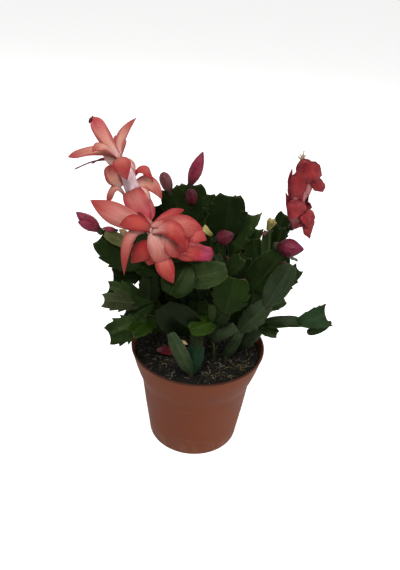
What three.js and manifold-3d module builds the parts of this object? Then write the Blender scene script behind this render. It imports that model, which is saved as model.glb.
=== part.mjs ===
// Potted christmas cactus: flat, toothed stem segments in rooted cuttings, two open blooms, a wilted one,
// buds and a fallen petal, in a plastic grower's pot filled with soil. Millimetres, +Z up, origin at the
// centre of the pot's underside. A direction is an azimuth and a lift in degrees: azimuth 0 is +X and 90
// is +Y, and lift is the angle above level.
import * as THREE from "three";
import { mergeVertices } from "three/addons/utils/BufferGeometryUtils.js";
import Module from "manifold-3d";

const wasm = await Module();
wasm.setup();

// Pot
const potHeight = 86;
const rimRadius = 52.5;
const collarFootHeight = 60;
const collarFootRadius = 46.2;
const wallTopRadius = 44.2;
const baseRadius = 36.6;
const potWall = 1.6;
const potFloor = 1.8;
const baseBevel = 0.6;
const collarStep = 0.6;
const lipHeight = 1.2;
const lipStep = 0.4;
const potSides = 36;
const drainHoleCount = 4;
const drainHoleRadius = 3.5;
const drainRingRadius = 25;
const drainHoleSides = 10;

// Soil
const fitGap = 0.3;
const soilTop = 81;
const soilRelief = 1.1;
const soilEdgeGap = 1.8;
const soilEdgeDrop = 0.8;
const soilSides = 20;
const soilRings = [16, 34];

// Stems
const rootRadius = 2.3;
const rootHoleRadius = 2.7;
const rootDepth = 15;
const rootHead = 88;
const rootTaper = 0.8;
const rootSides = 8;
const sunkBase = 2.6;
const segmentEdge = 1;
const segmentRib = 2.8;
const segmentBow = 0.05;
const segmentCup = 0.06;
const stalkEdge = 1.8;
const toothedFrom = 9.5;
const manyTeethFrom = 15;

// Petals
const petalEdge = 0.8;
const petalRib = 1.3;
const petalCup = 0.16;
const usualLift = 31;

// Buds and stamens
const budSides = 8;
const driedSides = 5;
const threadSides = 4;
const threadTaper = 0.6;
const styleRadius = 0.7;
const tuftRadius = 0.9;

// Colours and roughness
const terracotta = 0x8c5441;
const nearBlack = 0x1f1b16;

const green = 0x3d5a2c;
const palePink = 0xd99a86;
const crimson = 0x8e2a30;
const burgundy = 0x6e2836;
const cream = 0xb5a878;
const plasticRoughness = 0.55;
const soilRoughness = 0.95;
const leafRoughness = 0.5;
const petalRoughness = 0.5;
const driedRoughness = 0.8;

const vector = ([x, y, z]) => new THREE.Vector3(x, y, z);

function direction(azimuth, lift) {
  const turn = THREE.MathUtils.degToRad(azimuth);
  const rise = THREE.MathUtils.degToRad(lift);
  const level = Math.cos(rise);
  return new THREE.Vector3(level * Math.cos(turn), level * Math.sin(turn), Math.sin(rise));
}

// Solids: a closed geometry becomes one, they are joined or cut, and the result becomes a geometry again.
function solidFrom(geometry) {
  const bare = geometry.clone();
  bare.deleteAttribute("normal");
  bare.deleteAttribute("uv");
  const merged = mergeVertices(bare, 1e-3);
  return new wasm.Manifold(
    new wasm.Mesh({
      numProp: 3,
      vertProperties: new Float32Array(merged.attributes.position.array),
      triVerts: new Uint32Array(merged.index.array),
    }),
  );
}

function geometryFrom(solid) {
  const { vertProperties, triVerts } = solid.getMesh();
  const geometry = new THREE.BufferGeometry();
  geometry.setAttribute("position", new THREE.BufferAttribute(vertProperties, 3));
  geometry.setIndex(new THREE.BufferAttribute(triVerts, 1));
  geometry.computeVertexNormals();
  return geometry;
}

// Joins solids, then keeps the main body alone, which drops loose scraps and fills sealed hollows.
function joined(solids) {
  const whole = solids.reduce((sum, solid) => sum.add(solid));
  const bodies = whole.decompose();
  return bodies.reduce((most, body) => (body.volume() > most.volume() ? body : most));
}

// The middle line of a blade: one arc through three points. frameAt gives the place, the way across and the
// way the face looks, which turns with the line.
function bladeLine(from, through, tip, facing) {
  const start = vector(from);
  const end = vector(tip);
  const control = vector(through).multiplyScalar(2).addScaledVector(start, -0.5).addScaledVector(end, -0.5);
  const curve = new THREE.QuadraticBezierCurve3(start, control, end);
  const slopeAt = (u) =>
    new THREE.Vector3()
      .addScaledVector(start, 2 * (u - 1))
      .addScaledVector(control, 2 - 4 * u)
      .addScaledVector(end, 2 * u)
      .normalize();
  const midSlope = slopeAt(0.5);
  const midFace = facing.clone().addScaledVector(midSlope, -facing.dot(midSlope)).normalize();
  return (u) => {
    const slope = slopeAt(u);
    const turn = new THREE.Quaternion().setFromUnitVectors(midSlope, slope);
    const face = midFace.clone().applyQuaternion(turn);
    return { place: curve.getPoint(u), across: slope.clone().cross(face), face };
  };
}

// A thin solid along a line. Each side is an outline of [share of the length, share of the half width] from
// base to tip, and both end on the middle line. Its two faces are split into triangles alike.
function blade({ frameAt, halfWidth, sides, middle, edge, rib, cup }) {
  const places = [];
  const triangles = [];
  const lay = (u, v, thickness) => {
    const { place, across, face } = frameAt(u);
    const raise = cup * v * v * halfWidth;
    for (const half of [0.5, -0.5]) {
      const spot = place.clone();
      spot.addScaledVector(across, v * halfWidth);
      spot.addScaledVector(face, raise + half * thickness);
      places.push(...spot.toArray());
    }
    return places.length / 3 - 2;
  };
  const tip = sides[0].at(-1);
  const tipVertex = lay(tip[0], 0, edge);
  const ribVertices = middle.map((u) => lay(u, 0, rib));
  ribVertices.push(tipVertex);
  const ribPlaces = [...middle, tip[0]];
  const face = (a, b, c) => {
    triangles.push(a, b, c);
    triangles.push(a + 1, c + 1, b + 1);
  };
  const wall = (a, b) => {
    triangles.push(a, a + 1, b + 1);
    triangles.push(a, b + 1, b);
  };
  sides.forEach((outline, index) => {
    const sign = index === 0 ? 1 : -1;
    const rim = outline.slice(0, -1).map(([u, v]) => lay(u, sign * v, edge));
    rim.push(tipVertex);
    let i = 0;
    let j = 0;
    while (i < ribVertices.length - 1 || j < rim.length - 1) {
      const ribNext = i < ribVertices.length - 1 ? ribPlaces[i + 1] : Infinity;
      const rimNext = j < rim.length - 1 ? outline[j + 1][0] : Infinity;
      const forward = rimNext <= ribNext;
      const next = forward ? rim[j + 1] : ribVertices[i + 1];
      const corner = [ribVertices[i], rim[j], next];
      const flat = new Set(corner).size < 3;
      if (!flat) face(...(sign > 0 ? corner : corner.reverse()));
      if (forward) j += 1;
      else i += 1;
    }
    const loop = [ribVertices[0], ...rim];
    for (let k = 0; k < loop.length - 1; k += 1) {
      if (sign > 0) wall(loop[k], loop[k + 1]);
      else wall(loop[k + 1], loop[k]);
    }
  });
  const geometry = new THREE.BufferGeometry();
  geometry.setAttribute("position", new THREE.Float32BufferAttribute(places, 3));
  geometry.setIndex(triangles);
  return solidFrom(geometry);
}

// Stem segment: narrow base, teeth that point to the tip, a horn each side of a cut-off tip, a raised rib. A
// small one has one tooth a side, and the narrow ones low on a stem have none.
const toothedSides = [
  [[0, 0.24], [0.44, 0.97], [0.48, 0.8], [0.76, 1], [0.8, 0.82], [1.02, 0.66], [0.95, 0]],
  [[0, 0.24], [0.32, 0.9], [0.36, 0.75], [0.62, 1], [0.66, 0.86], [1.03, 0.62], [0.95, 0]],
];
const smallSides = [
  [[0, 0.28], [0.62, 1], [0.66, 0.82], [1.02, 0.66], [0.95, 0]],
  [[0, 0.28], [0.44, 0.96], [0.48, 0.8], [1.03, 0.7], [0.95, 0]],
];
const stalkSides = [
  [[0, 0.7], [0.5, 1], [1, 0.7], [0.99, 0]],
  [[0, 0.7], [0.5, 1], [1, 0.7], [0.99, 0]],
];

function outlineFor(width) {
  if (width >= manyTeethFrom) return toothedSides;
  return width >= toothedFrom ? smallSides : stalkSides;
}

function segmentSolid(from, [x, y, z, width, azimuth, lift = usualLift]) {
  const tip = new THREE.Vector3(x, y, z);
  const start = vector(from);
  const along = tip.clone().sub(start);
  const length = along.length();
  along.normalize();
  start.addScaledVector(along, -sunkBase);
  const facing = direction(azimuth, lift);
  const face = facing.clone().addScaledVector(along, -facing.dot(along)).normalize();
  const through = start.clone().add(tip).multiplyScalar(0.5).addScaledVector(face, segmentBow * length);
  const toothed = width >= toothedFrom;
  return blade({
    frameAt: bladeLine(start.toArray(), through.toArray(), tip.toArray(), facing),
    halfWidth: width / 2,
    sides: outlineFor(width),
    middle: [0, 0.55],
    edge: toothed ? segmentEdge : stalkEdge,
    rib: segmentRib,
    cup: segmentCup,
  });
}

// Each cutting stands on a root at [x, y]. A run goes from a point, joint by joint, and each joint gives
// [x, y, z, width, azimuth of the face, lift of the face] of the segment that ends there.
const cuttings = [
  {
    name: "stem_front",
    root: [12, -16],
    runs: [
      [[12, -16, 86], [10, -19, 104, 7, 0], [10, -26, 124, 9, -90]],
      [[10, -26, 123], [18, -32, 139, 14, -90], [22, -33, 167, 26, -90]],
      [[10, -26, 124], [-7, -37, 123, 15, -90, 50]],
      [[12, -23, 108], [26, -31, 125, 9, -90]],
      [[10, -26, 124], [8, -30, 142, 7, -90]],
    ],
  },
  {
    name: "stem_front_left",
    root: [-4, -36],
    runs: [
      [[-4, -36, 84], [-20, -43, 125, 13, -90]],
      [[-4, -35, 86], [0, -29, 105, 9, -90], [-3, -26, 116, 9, -90]],
      [[-3, -26, 115], [-27, -36, 142, 24, -90]],
      [[-3, -26, 114], [-1, -18, 138, 17, -90], [-5, -26, 160, 17, -90]],
      [[-5, -26, 159], [-10, -34, 163, 9, -90], [16, -44, 178, 18, -90]],
      [[-5, -26, 159], [-11, -33, 173, 9, -90], [-21, -46, 157, 23, -90, 50]],
    ],
  },
  {
    name: "stem_front_right",
    root: [22, -14],
    runs: [
      [[22, -14, 86], [31, -17, 113, 7, 0], [47, -26, 143, 16, -90], [57, -30, 177, 20, -90]],
      [[46, -25, 141], [67, -15, 153, 12, -60]],
      [[45, -24, 137], [61, -15, 140, 10, -70, 50]],
    ],
  },
  {
    name: "stem_right_low",
    root: [30, -4],
    runs: [
      [[30, -4, 86], [34, -3, 101, 7, 0], [53, -4, 111, 10, -90, 80], [77, -4, 114, 13, -90, 80]],
      [[76, -4, 114], [95, -8, 126, 20, -90]],
      [[94, -8, 122], [84, -1, 103, 10, -90]],
      [[30, -5, 88], [44, -14, 112, 11, -90]],
      [[45, -5, 108], [60, -12, 107, 10, -90, 50]],
    ],
  },
  {
    name: "stem_right",
    root: [32, 10],
    runs: [
      [[32, 10, 86], [38, 5, 110, 8, 0], [39, -1, 138, 9, -90], [57, -12, 174, 25, -90]],
      [[38, 5, 109], [43, 12, 131, 10, -90], [48, 12, 156, 14, -90], [46, 12, 182, 11, -90]],
      [[49, 12, 154], [55, 12, 186, 12, -90]],
    ],
  },
  {
    name: "stem_centre_right",
    root: [10, 10],
    runs: [
      [[10, 10, 86], [16, 10, 108, 8, 0], [20, 10, 134, 16, -90], [16, 11, 158, 18, -90]],
      [[16, 11, 157], [14, 10, 176, 13, -90], [15, 14, 205, 27, -90]],
      [[17, 11, 158], [34, 20, 189, 18, -90]],
      [[20, 12, 146], [42, 20, 178, 17, -90]],
      [[20, 10, 133], [31, 5, 164, 17, -90]],
      [[16, 11, 157], [4, 17, 188, 13, -90]],
      [[19, 9, 132], [14, -3, 151, 12, -90], [13, -5, 176, 10, -90]],
      [[14, -4, 150], [27, -15, 173, 12, -90]],
      [[13, -5, 162], [7, -8, 183, 10, -90]],
      [[14, -4, 150], [10, -17, 164, 12, -90], [7, -26, 179, 11, -90]],
    ],
  },
  {
    name: "stem_centre_left",
    root: [-8, 10],
    runs: [
      [[-8, 10, 86], [-8, 8, 110, 8, 0], [-10, 8, 138, 16, -90], [-12, 9, 164, 18, -90]],
      [[-12, 9, 163], [-11, 10, 186, 14, -90], [-12, 14, 212, 21, -90]],
      [[-14, 8, 178], [-27, 8, 210, 14, -90]],
      [[-9, 9, 178], [-5, 19, 205, 13, -70]],
      [[-10, 8, 136], [-24, 2, 162, 17, -90]],
      [[-9, 8, 134], [3, 1, 162, 16, -90]],
    ],
  },
  {
    name: "stem_left_low",
    root: [-24, 4],
    runs: [
      [[-24, 4, 86], [-26, -9, 106, 7, 0], [-41, -27, 122, 13, -90]],
      [[-40, -27, 121], [-65, -36, 113, 20, -90]],
      [[-31, -15, 112], [-50, -38, 112, 14, -90, 45]],
    ],
  },
  {
    name: "stem_left",
    root: [-34, 12],
    runs: [
      [[-34, 12, 86], [-32, 0, 108, 8, 0], [-38, -12, 130, 14, -90], [-69, -12, 140, 14, -90]],
      [[-48, -13, 131], [-71, -22, 135, 14, -90]],
      [[-37, -12, 126], [-54, -15, 114, 13, -90]],
      [[-37, -11, 128], [-38, -14, 152, 16, -90]],
    ],
  },
  {
    name: "stem_left_high",
    root: [-18, 20],
    runs: [
      [[-18, 20, 86], [-24, 14, 110, 8, 0], [-31, 5, 134, 16, -90], [-34, 0, 150, 14, -90]],
      [[-33, 1, 148], [-48, 3, 147, 12, -90], [-70, 5, 143, 12, -90]],
      [[-34, 0, 148], [-48, -6, 155, 13, -90], [-74, -10, 179, 24, -90]],
      [[-52, -9, 166], [-68, -19, 184, 9, -90]],
      [[-33, 1, 148], [-35, 9, 174, 12, -90], [-37, 12, 196, 14, -90]],
      [[-33, 0, 148], [-38, -5, 184, 14, -90]],
    ],
  },
  {
    name: "stem_back_right",
    root: [24, 26],
    runs: [
      [[24, 26, 86], [32, 30, 110, 8, 45], [46, 36, 134, 16, 45], [62, 44, 150, 18, 45]],
      [[61, 43, 149], [77, 51, 143, 17, 45, 60]],
      [[32, 31, 109], [34, 44, 134, 15, 90], [36, 58, 156, 18, 90], [44, 73, 167, 18, 90, 50]],
      [[46, 36, 133], [52, 32, 160, 16, 45], [60, 34, 186, 17, 45]],
      [[34, 45, 133], [52, 62, 132, 16, 45, 60]],
    ],
  },
  {
    name: "stem_back",
    root: [2, 32],
    runs: [
      [[2, 32, 86], [2, 37, 112, 8, 90], [1, 40, 138, 16, 90], [-2, 44, 166, 18, 90], [0, 50, 192, 20, 90]],
      [[1, 40, 137], [8, 58, 152, 17, 90], [12, 76, 148, 18, 90, 60]],
      [[2, 37, 111], [-6, 56, 124, 15, 90], [-10, 76, 119, 17, 90, 60]],
      [[-2, 44, 165], [-16, 60, 178, 17, 120]],
    ],
  },
  {
    name: "stem_back_left",
    root: [-24, 32],
    runs: [
      [[-24, 32, 86], [-32, 35, 110, 8, 135], [-44, 40, 132, 16, 135], [-61, 46, 146, 18, 135]],
      [[-60, 46, 145], [-78, 50, 138, 17, 135, 60]],
      [[-32, 36, 109], [-34, 52, 128, 15, 90], [-40, 70, 133, 18, 120, 60]],
      [[-44, 40, 131], [-46, 37, 160, 17, 135], [-52, 39, 187, 18, 135]],
      [[-34, 52, 127], [-26, 62, 152, 16, 90]],
    ],
  },
];

function stemSolid({ root, runs }) {
  const rootLength = rootHead - soilTop + rootDepth;
  const peg = new THREE.CylinderGeometry(rootRadius * rootTaper, rootRadius, rootLength, rootSides);
  peg.rotateX(Math.PI / 2);
  peg.translate(root[0], root[1], rootHead - rootLength / 2);
  const solids = [solidFrom(peg)];
  for (const [start, ...joints] of runs) {
    let from = start;
    for (const joint of joints) {
      solids.push(segmentSolid(from, joint));
      from = joint.slice(0, 3);
    }
  }
  return joined(solids);
}

function potSolid() {
  const innerCollarFoot = collarFootRadius - potWall;
  const innerWallTop = wallTopRadius - potWall;
  const innerBase = baseRadius - potWall;
  const profile = [
    [0, 0],
    [baseRadius - baseBevel, 0],
    [baseRadius, baseBevel],
    [wallTopRadius, collarFootHeight - collarStep],
    [collarFootRadius, collarFootHeight],
    [rimRadius - lipStep, potHeight - lipHeight - lipStep],
    [rimRadius, potHeight - lipHeight],
    [rimRadius, potHeight],
    [rimRadius - potWall, potHeight],
    [innerCollarFoot, collarFootHeight + collarStep],
    [innerWallTop, collarFootHeight - potWall],
    [innerBase, potFloor],
    [0, potFloor],
  ].map(([radius, height]) => new THREE.Vector2(radius, height));
  const shell = new THREE.LatheGeometry(profile, potSides);
  shell.rotateX(Math.PI / 2);
  let pot = solidFrom(shell);
  for (let i = 0; i < drainHoleCount; i += 1) {
    const turn = ((i + 0.5) * 2 * Math.PI) / drainHoleCount;
    const drill = new THREE.CylinderGeometry(drainHoleRadius, drainHoleRadius, 4 * potFloor, drainHoleSides);
    drill.rotateX(Math.PI / 2);
    drill.translate(drainRingRadius * Math.cos(turn), drainRingRadius * Math.sin(turn), 0);
    pot = pot.subtract(solidFrom(drill));
  }
  return pot;
}

function soilSolid() {
  const inset = potWall + 2 * fitGap;
  const profile = [
    [0, potFloor + fitGap],
    [baseRadius - inset, potFloor + fitGap],
    [wallTopRadius - inset, collarFootHeight - potWall],
    [collarFootRadius - inset, collarFootHeight + 2 * collarStep],
    [rimRadius - potWall - soilEdgeGap, soilTop - soilEdgeDrop],
    ...soilRings.toReversed().map((radius) => [radius, soilTop]),
    [0, soilTop],
  ].map(([radius, height]) => new THREE.Vector2(radius, height));
  const fill = new THREE.LatheGeometry(profile, soilSides);
  fill.rotateX(Math.PI / 2);
  const spots = fill.attributes.position;
  for (let i = 0; i < spots.count; i += 1) {
    if (spots.getZ(i) > soilTop - 0.1) {
      const [x, y] = [spots.getX(i), spots.getY(i)];
      const lump = Math.sin(0.31 * x + 0.5) * Math.cos(0.27 * y) + Math.sin(0.53 * y - 0.41 * x);
      spots.setZ(i, soilTop + 0.5 * soilRelief * lump);
    }
  }
  let soil = solidFrom(fill);
  for (const { root } of cuttings) {
    const height = 2 * rootDepth;
    const drill = new THREE.CylinderGeometry(rootHoleRadius, rootHoleRadius, height, rootSides);
    drill.rotateX(Math.PI / 2);
    drill.translate(root[0], root[1], soilTop - rootDepth - fitGap + height / 2);
    soil = soil.subtract(solidFrom(drill));
  }
  return soil;
}

// Petal: slim foot, widest past the middle, pointed tip, cupped.
const petalSide = [[0, 0.35], [0.35, 0.85], [0.7, 0.9], [1, 0]];

// A petal is [foot, a point halfway, tip, width, azimuth of its face, lift of its face].
function petalSolid([foot, through, tip, width, azimuth, lift = usualLift]) {
  return blade({
    frameAt: bladeLine(foot, through, tip, direction(azimuth, lift)),
    halfWidth: width / 2,
    sides: [petalSide, petalSide],
    middle: [0, 0.35, 0.7],
    edge: petalEdge,
    rib: petalRib,
    cup: -petalCup,
  });
}

// A round body along a line of points, with a radius at each.
function fleshSolid(points, radii, sides = 8) {
  const curve = new THREE.CatmullRomCurve3(points.map(vector));
  const frames = curve.computeFrenetFrames(points.length - 1);
  const places = [];
  const triangles = [];
  points.forEach((point, i) => {
    for (let k = 0; k < sides; k += 1) {
      const turn = (2 * Math.PI * k) / sides;
      const spot = vector(point);
      spot.addScaledVector(frames.normals[i], radii[i] * Math.cos(turn));
      spot.addScaledVector(frames.binormals[i], radii[i] * Math.sin(turn));
      places.push(...spot.toArray());
    }
  });
  const last = (points.length - 1) * sides;
  for (let k = 0; k < sides; k += 1) {
    const next = (k + 1) % sides;
    for (let ring = 0; ring < last; ring += sides) {
      triangles.push(ring + k, ring + next, ring + sides + next);
      triangles.push(ring + k, ring + sides + next, ring + sides + k);
    }
    if (k > 0 && k < sides - 1) {
      triangles.push(0, k + 1, k);
      triangles.push(last, last + k, last + k + 1);
    }
  }
  const geometry = new THREE.BufferGeometry();
  geometry.setAttribute("position", new THREE.Float32BufferAttribute(places, 3));
  geometry.setIndex(triangles);
  return solidFrom(geometry);
}

function bloomSolid({ tube, radii, petals }) {
  return joined([fleshSolid(tube, radii), ...petals.map(petalSolid)]);
}

const upperBloom = {
  tube: [[-39, -5, 184.9], [-44, -7, 199], [-49, -10, 214], [-54, -12, 227], [-60, -14, 239]],
  radii: [2.5, 4.4, 4.6, 4.6, 5],
  petals: [
    [[-59, -14, 235], [-66, -15, 251], [-75, -15, 264], 11, -90],
    [[-58, -12, 235], [-57, -8, 249], [-49, -4, 262], 8, -20],
    [[-59, -15, 237], [-73, -19, 244], [-89, -24, 240], 7, -90, 50],
    [[-59, -16, 238], [-66, -23, 248], [-74, -30, 247], 9, -90, 60],
    [[-59, -15, 234], [-66, -17, 239], [-72, -19, 236], 8, -90],
    [[-57, -15, 235], [-59, -24, 237], [-53, -24, 228], 13, -90, 40],
    [[-53, -12, 218], [-63, -17, 221], [-66, -19, 232], 10, -90],
    [[-54, -11, 228], [-45, -5, 230], [-37, -4, 220], 9, -90, 50],
    [[-51, -10, 215], [-40, -6, 220], [-31, -6, 208], 12, -90, 45],
    [[-52, -11, 215], [-65, -13, 216], [-67, -13, 204], 6, 180, 50],
    [[-50, -12, 218], [-51, -20, 213], [-53, -21, 202], 18, -90],
    [[-47, -10, 213], [-41, -15, 206], [-37, -13, 194], 12, -90],
    [[-49, -9, 213], [-42, -4, 213], [-41, -3, 204], 8, -90],
    [[-59, -12, 237], [-60, 2, 245], [-62, 15, 243], 9, 90],
    [[-54, -10, 229], [-50, 3, 234], [-46, 8, 224], 10, 90],
    [[-48, -9, 212], [-44, 6, 218], [-42, 11, 207], 10, 90],
  ],
};

const lowerBloom = {
  tube: [[5, -29.6, 180.5], [-4, -34, 184], [-15, -38, 189], [-26, -38, 194], [-38, -37, 203]],
  radii: [4.2, 5.6, 5.8, 5.6, 5],
  petals: [
    [[-35, -38, 200], [-54, -40, 212], [-73, -42, 221], 15, -90],
    [[-34, -39, 200], [-43, -45, 208], [-54, -46, 206], 11, -90],
    [[-33, -38, 200], [-18, -42, 210], [-2, -44, 205], 16, -90],
    [[-32, -36, 200], [-24, -29, 209], [-15, -27, 210], 8, -90],
    [[-25, -40, 196], [-11, -49, 203], [1, -49, 200], 10, -90],
    [[-33, -38, 200], [-22, -49, 204], [-15, -50, 192], 13, -90],
    [[-36, -38, 200], [-47, -46, 192], [-51, -44, 168], 10, -90],
    [[-32, -38, 197], [-40, -39, 187], [-49, -37, 175], 11, -90],
    [[-31, -38, 198], [-29, -48, 198], [-28, -48, 188], 10, -90],
    [[-24, -38, 192], [-25, -47, 182], [-18, -48, 167], 12, -90],
    [[-29, -38, 193], [-34, -42, 182], [-35, -41, 173], 8, -90],
    [[-34, -37, 200], [-40, -24, 204], [-48, -20, 200], 10, 90, 40],
    [[-25, -37, 194], [-24, -24, 192], [-20, -21, 182], 10, 90],
  ],
};

const wiltedBloom = {
  tube: [[60.6, 11, 184], [65, 9, 192], [66, 7, 202], [65, 6, 214], [65, 6, 225], [62, 6, 236]],
  radii: [1.6, 3.8, 5.2, 4.2, 4.8, 2.4],
  petals: [
    [[66, 7, 190], [61, -2, 200], [63, -1, 210], 16, -90],
    [[66, 7, 198], [72, 1, 192], [74, 0, 183], 9, -90],
    [[64, 7, 196], [57, 6, 204], [54, 6, 214], 6, -120],
    [[64, 6, 206], [58, 4, 220], [57, 4, 232], 6, -120],
    [[65, 6, 220], [71, 4, 234], [77, 2, 230], 11, -90],
    [[65, 6, 222], [74, 4, 225], [79, 2, 218], 9, -90],
    [[65, 6, 203], [61, 1, 219], [63, 2, 236], 9, -95],
    [[66, 7, 202], [69, 12, 217], [68, 11, 232], 12, 70],
    [[67, 8, 192], [73, 4, 201], [70, 5, 212], 7, -60],
  ],
};

// Stamens: thin threads that leave one point and end at the points given.
function threadSolid(foot, ends, radius) {
  return joined(
    ends.map((end) => fleshSolid([foot, end], [radius, radius * threadTaper], threadSides)),
  );
}

const budProfile = [[0, 0], [0.35, 0], [0.8, 0.2], [1, 0.45], [0.8, 0.7], [0.4, 0.9], [0, 1]];

function budSolid({ foot, tip, width, sides = budSides }) {
  const start = vector(foot);
  const along = vector(tip).sub(start);
  const length = along.length();
  const profile = budProfile.map(([r, h]) => new THREE.Vector2((r * width) / 2, h * length));
  const bud = new THREE.LatheGeometry(profile, sides);
  const up = new THREE.Vector3(0, 1, 0);
  bud.applyQuaternion(new THREE.Quaternion().setFromUnitVectors(up, along.normalize()));
  bud.translate(...start.toArray());
  return solidFrom(bud);
}

const buds = {
  bud_top: [{ foot: [-13, 14, 211.7], tip: [-5, 14, 237], width: 10.5 }],
  bud_top_small: [{ foot: [-27, 8, 209.3], tip: [-31, 8, 223], width: 8 }],
  bud_facing: [{ foot: [-11, 8.5, 200], tip: [-11, -6, 213], width: 8.5 }],
  bud_left: [
    { foot: [-72.5, -10.7, 180.6], tip: [-90, -14, 197], width: 10 },
    { foot: [-72.5, -10.7, 180.6], tip: [-87, -18, 191], width: 9 },
  ],
  bud_centre: [{ foot: [10, -10, 181], tip: [21, -17, 189], width: 10 }],
  bud_right: [{ foot: [51.7, -13.2, 177.9], tip: [67, -20, 187.5], width: 12.5 }],
};

const driedFlowers = {
  dried_flower_left: { foot: [6.4, -8, 183.4], tip: [-2, -9, 192], width: 7, sides: driedSides },
  dried_flower_right: { foot: [46, 12, 182], tip: [48, 11, 190], width: 7, sides: driedSides },
};

const fallenPetal = [[-31, -8, 82.4], [-24, -9, 85.4], [-17, -10, 82.6], 11, -90, 80];

const plant = new THREE.Group();

function place(name, solid, color, roughness) {
  const material = new THREE.MeshStandardMaterial({ color, roughness, metalness: 0 });
  const mesh = new THREE.Mesh(geometryFrom(solid), material);
  mesh.name = name;
  plant.add(mesh);
}

place("pot", potSolid(), terracotta, plasticRoughness);
place("soil", soilSolid(), nearBlack, soilRoughness);
for (const cutting of cuttings) place(cutting.name, stemSolid(cutting), green, leafRoughness);
place("bloom_upper", bloomSolid(upperBloom), palePink, petalRoughness);
place("bloom_lower", bloomSolid(lowerBloom), palePink, petalRoughness);
place("bloom_wilted", bloomSolid(wiltedBloom), crimson, petalRoughness);

const styleFoot = [-72.6, -20.6, 236];
const styleEnds = [[-87, -16, 230], [-79, -22, 233]];
place("stamens_upper", threadSolid(styleFoot, styleEnds, styleRadius), crimson, petalRoughness);

const tuftFoot = [62, 6, 236.9];
const tuftEnds = [[62, 6, 244], [59, 6, 241], [61, 4, 243], [64, 7, 242]];
place("stamens_wilted", threadSolid(tuftFoot, tuftEnds, tuftRadius), cream, driedRoughness);

for (const [name, parts] of Object.entries(buds)) {
  place(name, joined(parts.map(budSolid)), burgundy, leafRoughness);
}
for (const [name, shape] of Object.entries(driedFlowers)) {
  place(name, budSolid(shape), cream, driedRoughness);
}
place("fallen_petal", petalSolid(fallenPetal), crimson, petalRoughness);

export default plant;
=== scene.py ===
import math
import random

import bpy
import numpy as np
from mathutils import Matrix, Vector, noise


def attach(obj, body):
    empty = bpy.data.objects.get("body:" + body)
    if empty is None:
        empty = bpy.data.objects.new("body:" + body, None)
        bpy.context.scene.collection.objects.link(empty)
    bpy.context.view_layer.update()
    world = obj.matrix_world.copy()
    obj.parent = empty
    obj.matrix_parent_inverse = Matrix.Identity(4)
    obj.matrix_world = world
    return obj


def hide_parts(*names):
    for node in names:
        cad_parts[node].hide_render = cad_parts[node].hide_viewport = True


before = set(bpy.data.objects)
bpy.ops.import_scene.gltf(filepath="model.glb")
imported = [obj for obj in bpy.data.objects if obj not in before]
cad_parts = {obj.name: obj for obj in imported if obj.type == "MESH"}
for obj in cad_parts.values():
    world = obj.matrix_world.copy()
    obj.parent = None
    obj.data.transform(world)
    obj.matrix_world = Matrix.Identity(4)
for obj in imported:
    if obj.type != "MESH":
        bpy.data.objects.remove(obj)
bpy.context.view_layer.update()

mm = 0.001  # lists of places are in millimetres, in the part's own frame
mergeReach = 0.01 * mm

# Small helpers
def deselectAll():
    if bpy.context.object and bpy.context.object.mode != "OBJECT":
        bpy.ops.object.mode_set(mode="OBJECT")
    bpy.ops.object.select_all(action="DESELECT")


def pick(*pieces):
    deselectAll()
    for piece in pieces:
        piece.select_set(True)
    bpy.context.view_layer.objects.active = pieces[0]


def named(piece, name):
    piece.name = name
    piece.data.name = name
    return piece


def spotsOf(piece):
    spots = np.empty(len(piece.data.vertices) * 3)
    piece.data.vertices.foreach_get("co", spots)
    return spots.reshape(-1, 3)


def setSpots(piece, spots):
    piece.data.vertices.foreach_set("co", np.ascontiguousarray(spots).ravel())
    piece.data.update()


def gridSheet(name, columns, rows):
    # A flat sheet from -1 to 1 both ways, with a UV map that runs 0 to 1
    deselectAll()
    bpy.ops.mesh.primitive_grid_add(x_subdivisions=columns, y_subdivisions=rows, size=2)
    return named(bpy.context.object, name)


def copyOf(master, name):
    piece = master.copy()
    piece.data = master.data.copy()
    bpy.context.scene.collection.objects.link(piece)
    return named(piece, name)


def joinUp(pieces, name):
    pick(*pieces)
    if len(pieces) > 1:
        bpy.ops.object.join()
    return named(bpy.context.object, name)


def closeSeams(piece):
    # Merges doubles, as at a rolled sheet's seam and ends, and turns the faces out
    pick(piece)
    bpy.ops.object.mode_set(mode="EDIT")
    bpy.ops.mesh.select_all(action="SELECT")
    bpy.ops.mesh.remove_doubles(threshold=mergeReach)
    bpy.ops.mesh.normals_make_consistent(inside=False)
    bpy.ops.object.mode_set(mode="OBJECT")
    bpy.ops.object.shade_smooth()
    return piece


def applyAll(piece):
    pick(piece)
    for modifier in list(piece.modifiers):
        bpy.ops.object.modifier_apply(modifier=modifier.name)
    return piece


def thicken(sheet, group=""):
    # A thickness of 1 over both sides of a flat sheet, less where the group's weights are lower
    solid = sheet.modifiers.new("thickness", "SOLIDIFY")
    solid.thickness = 1.0
    solid.offset = 0
    solid.vertex_group = group
    return applyAll(sheet)


def paint(piece, name, color):
    # One colour, or a colour for each point, as an attribute that the material reads
    count = len(piece.data.vertices)
    colors = np.ones((count, 4))
    colors[:, :3] = color
    layer = piece.data.color_attributes.get(name)
    if layer is None:
        layer = piece.data.color_attributes.new(name, "FLOAT_COLOR", "POINT")
    layer.data.foreach_set("color", colors.ravel())
    return piece


def dress(piece, material):
    piece.data.materials.clear()
    piece.data.materials.append(material)
    return piece


def place(piece, slot, *nodes):
    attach(piece, "root")
    if nodes:
        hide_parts(*nodes)
    return piece


def addAimed(name, data, spot, target, roll=0.0):
    # A camera or a lamp that looks from its place at the target
    piece = bpy.data.objects.new(name, data)
    bpy.context.scene.collection.objects.link(piece)
    piece.location = spot
    piece.rotation_euler = (Vector(target) - Vector(spot)).to_track_quat("-Z", "Y").to_euler()
    piece.rotation_euler.rotate_axis("Z", math.radians(roll))
    return piece


def onCircle(radius, turn):
    return radius * math.cos(turn), radius * math.sin(turn)


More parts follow.
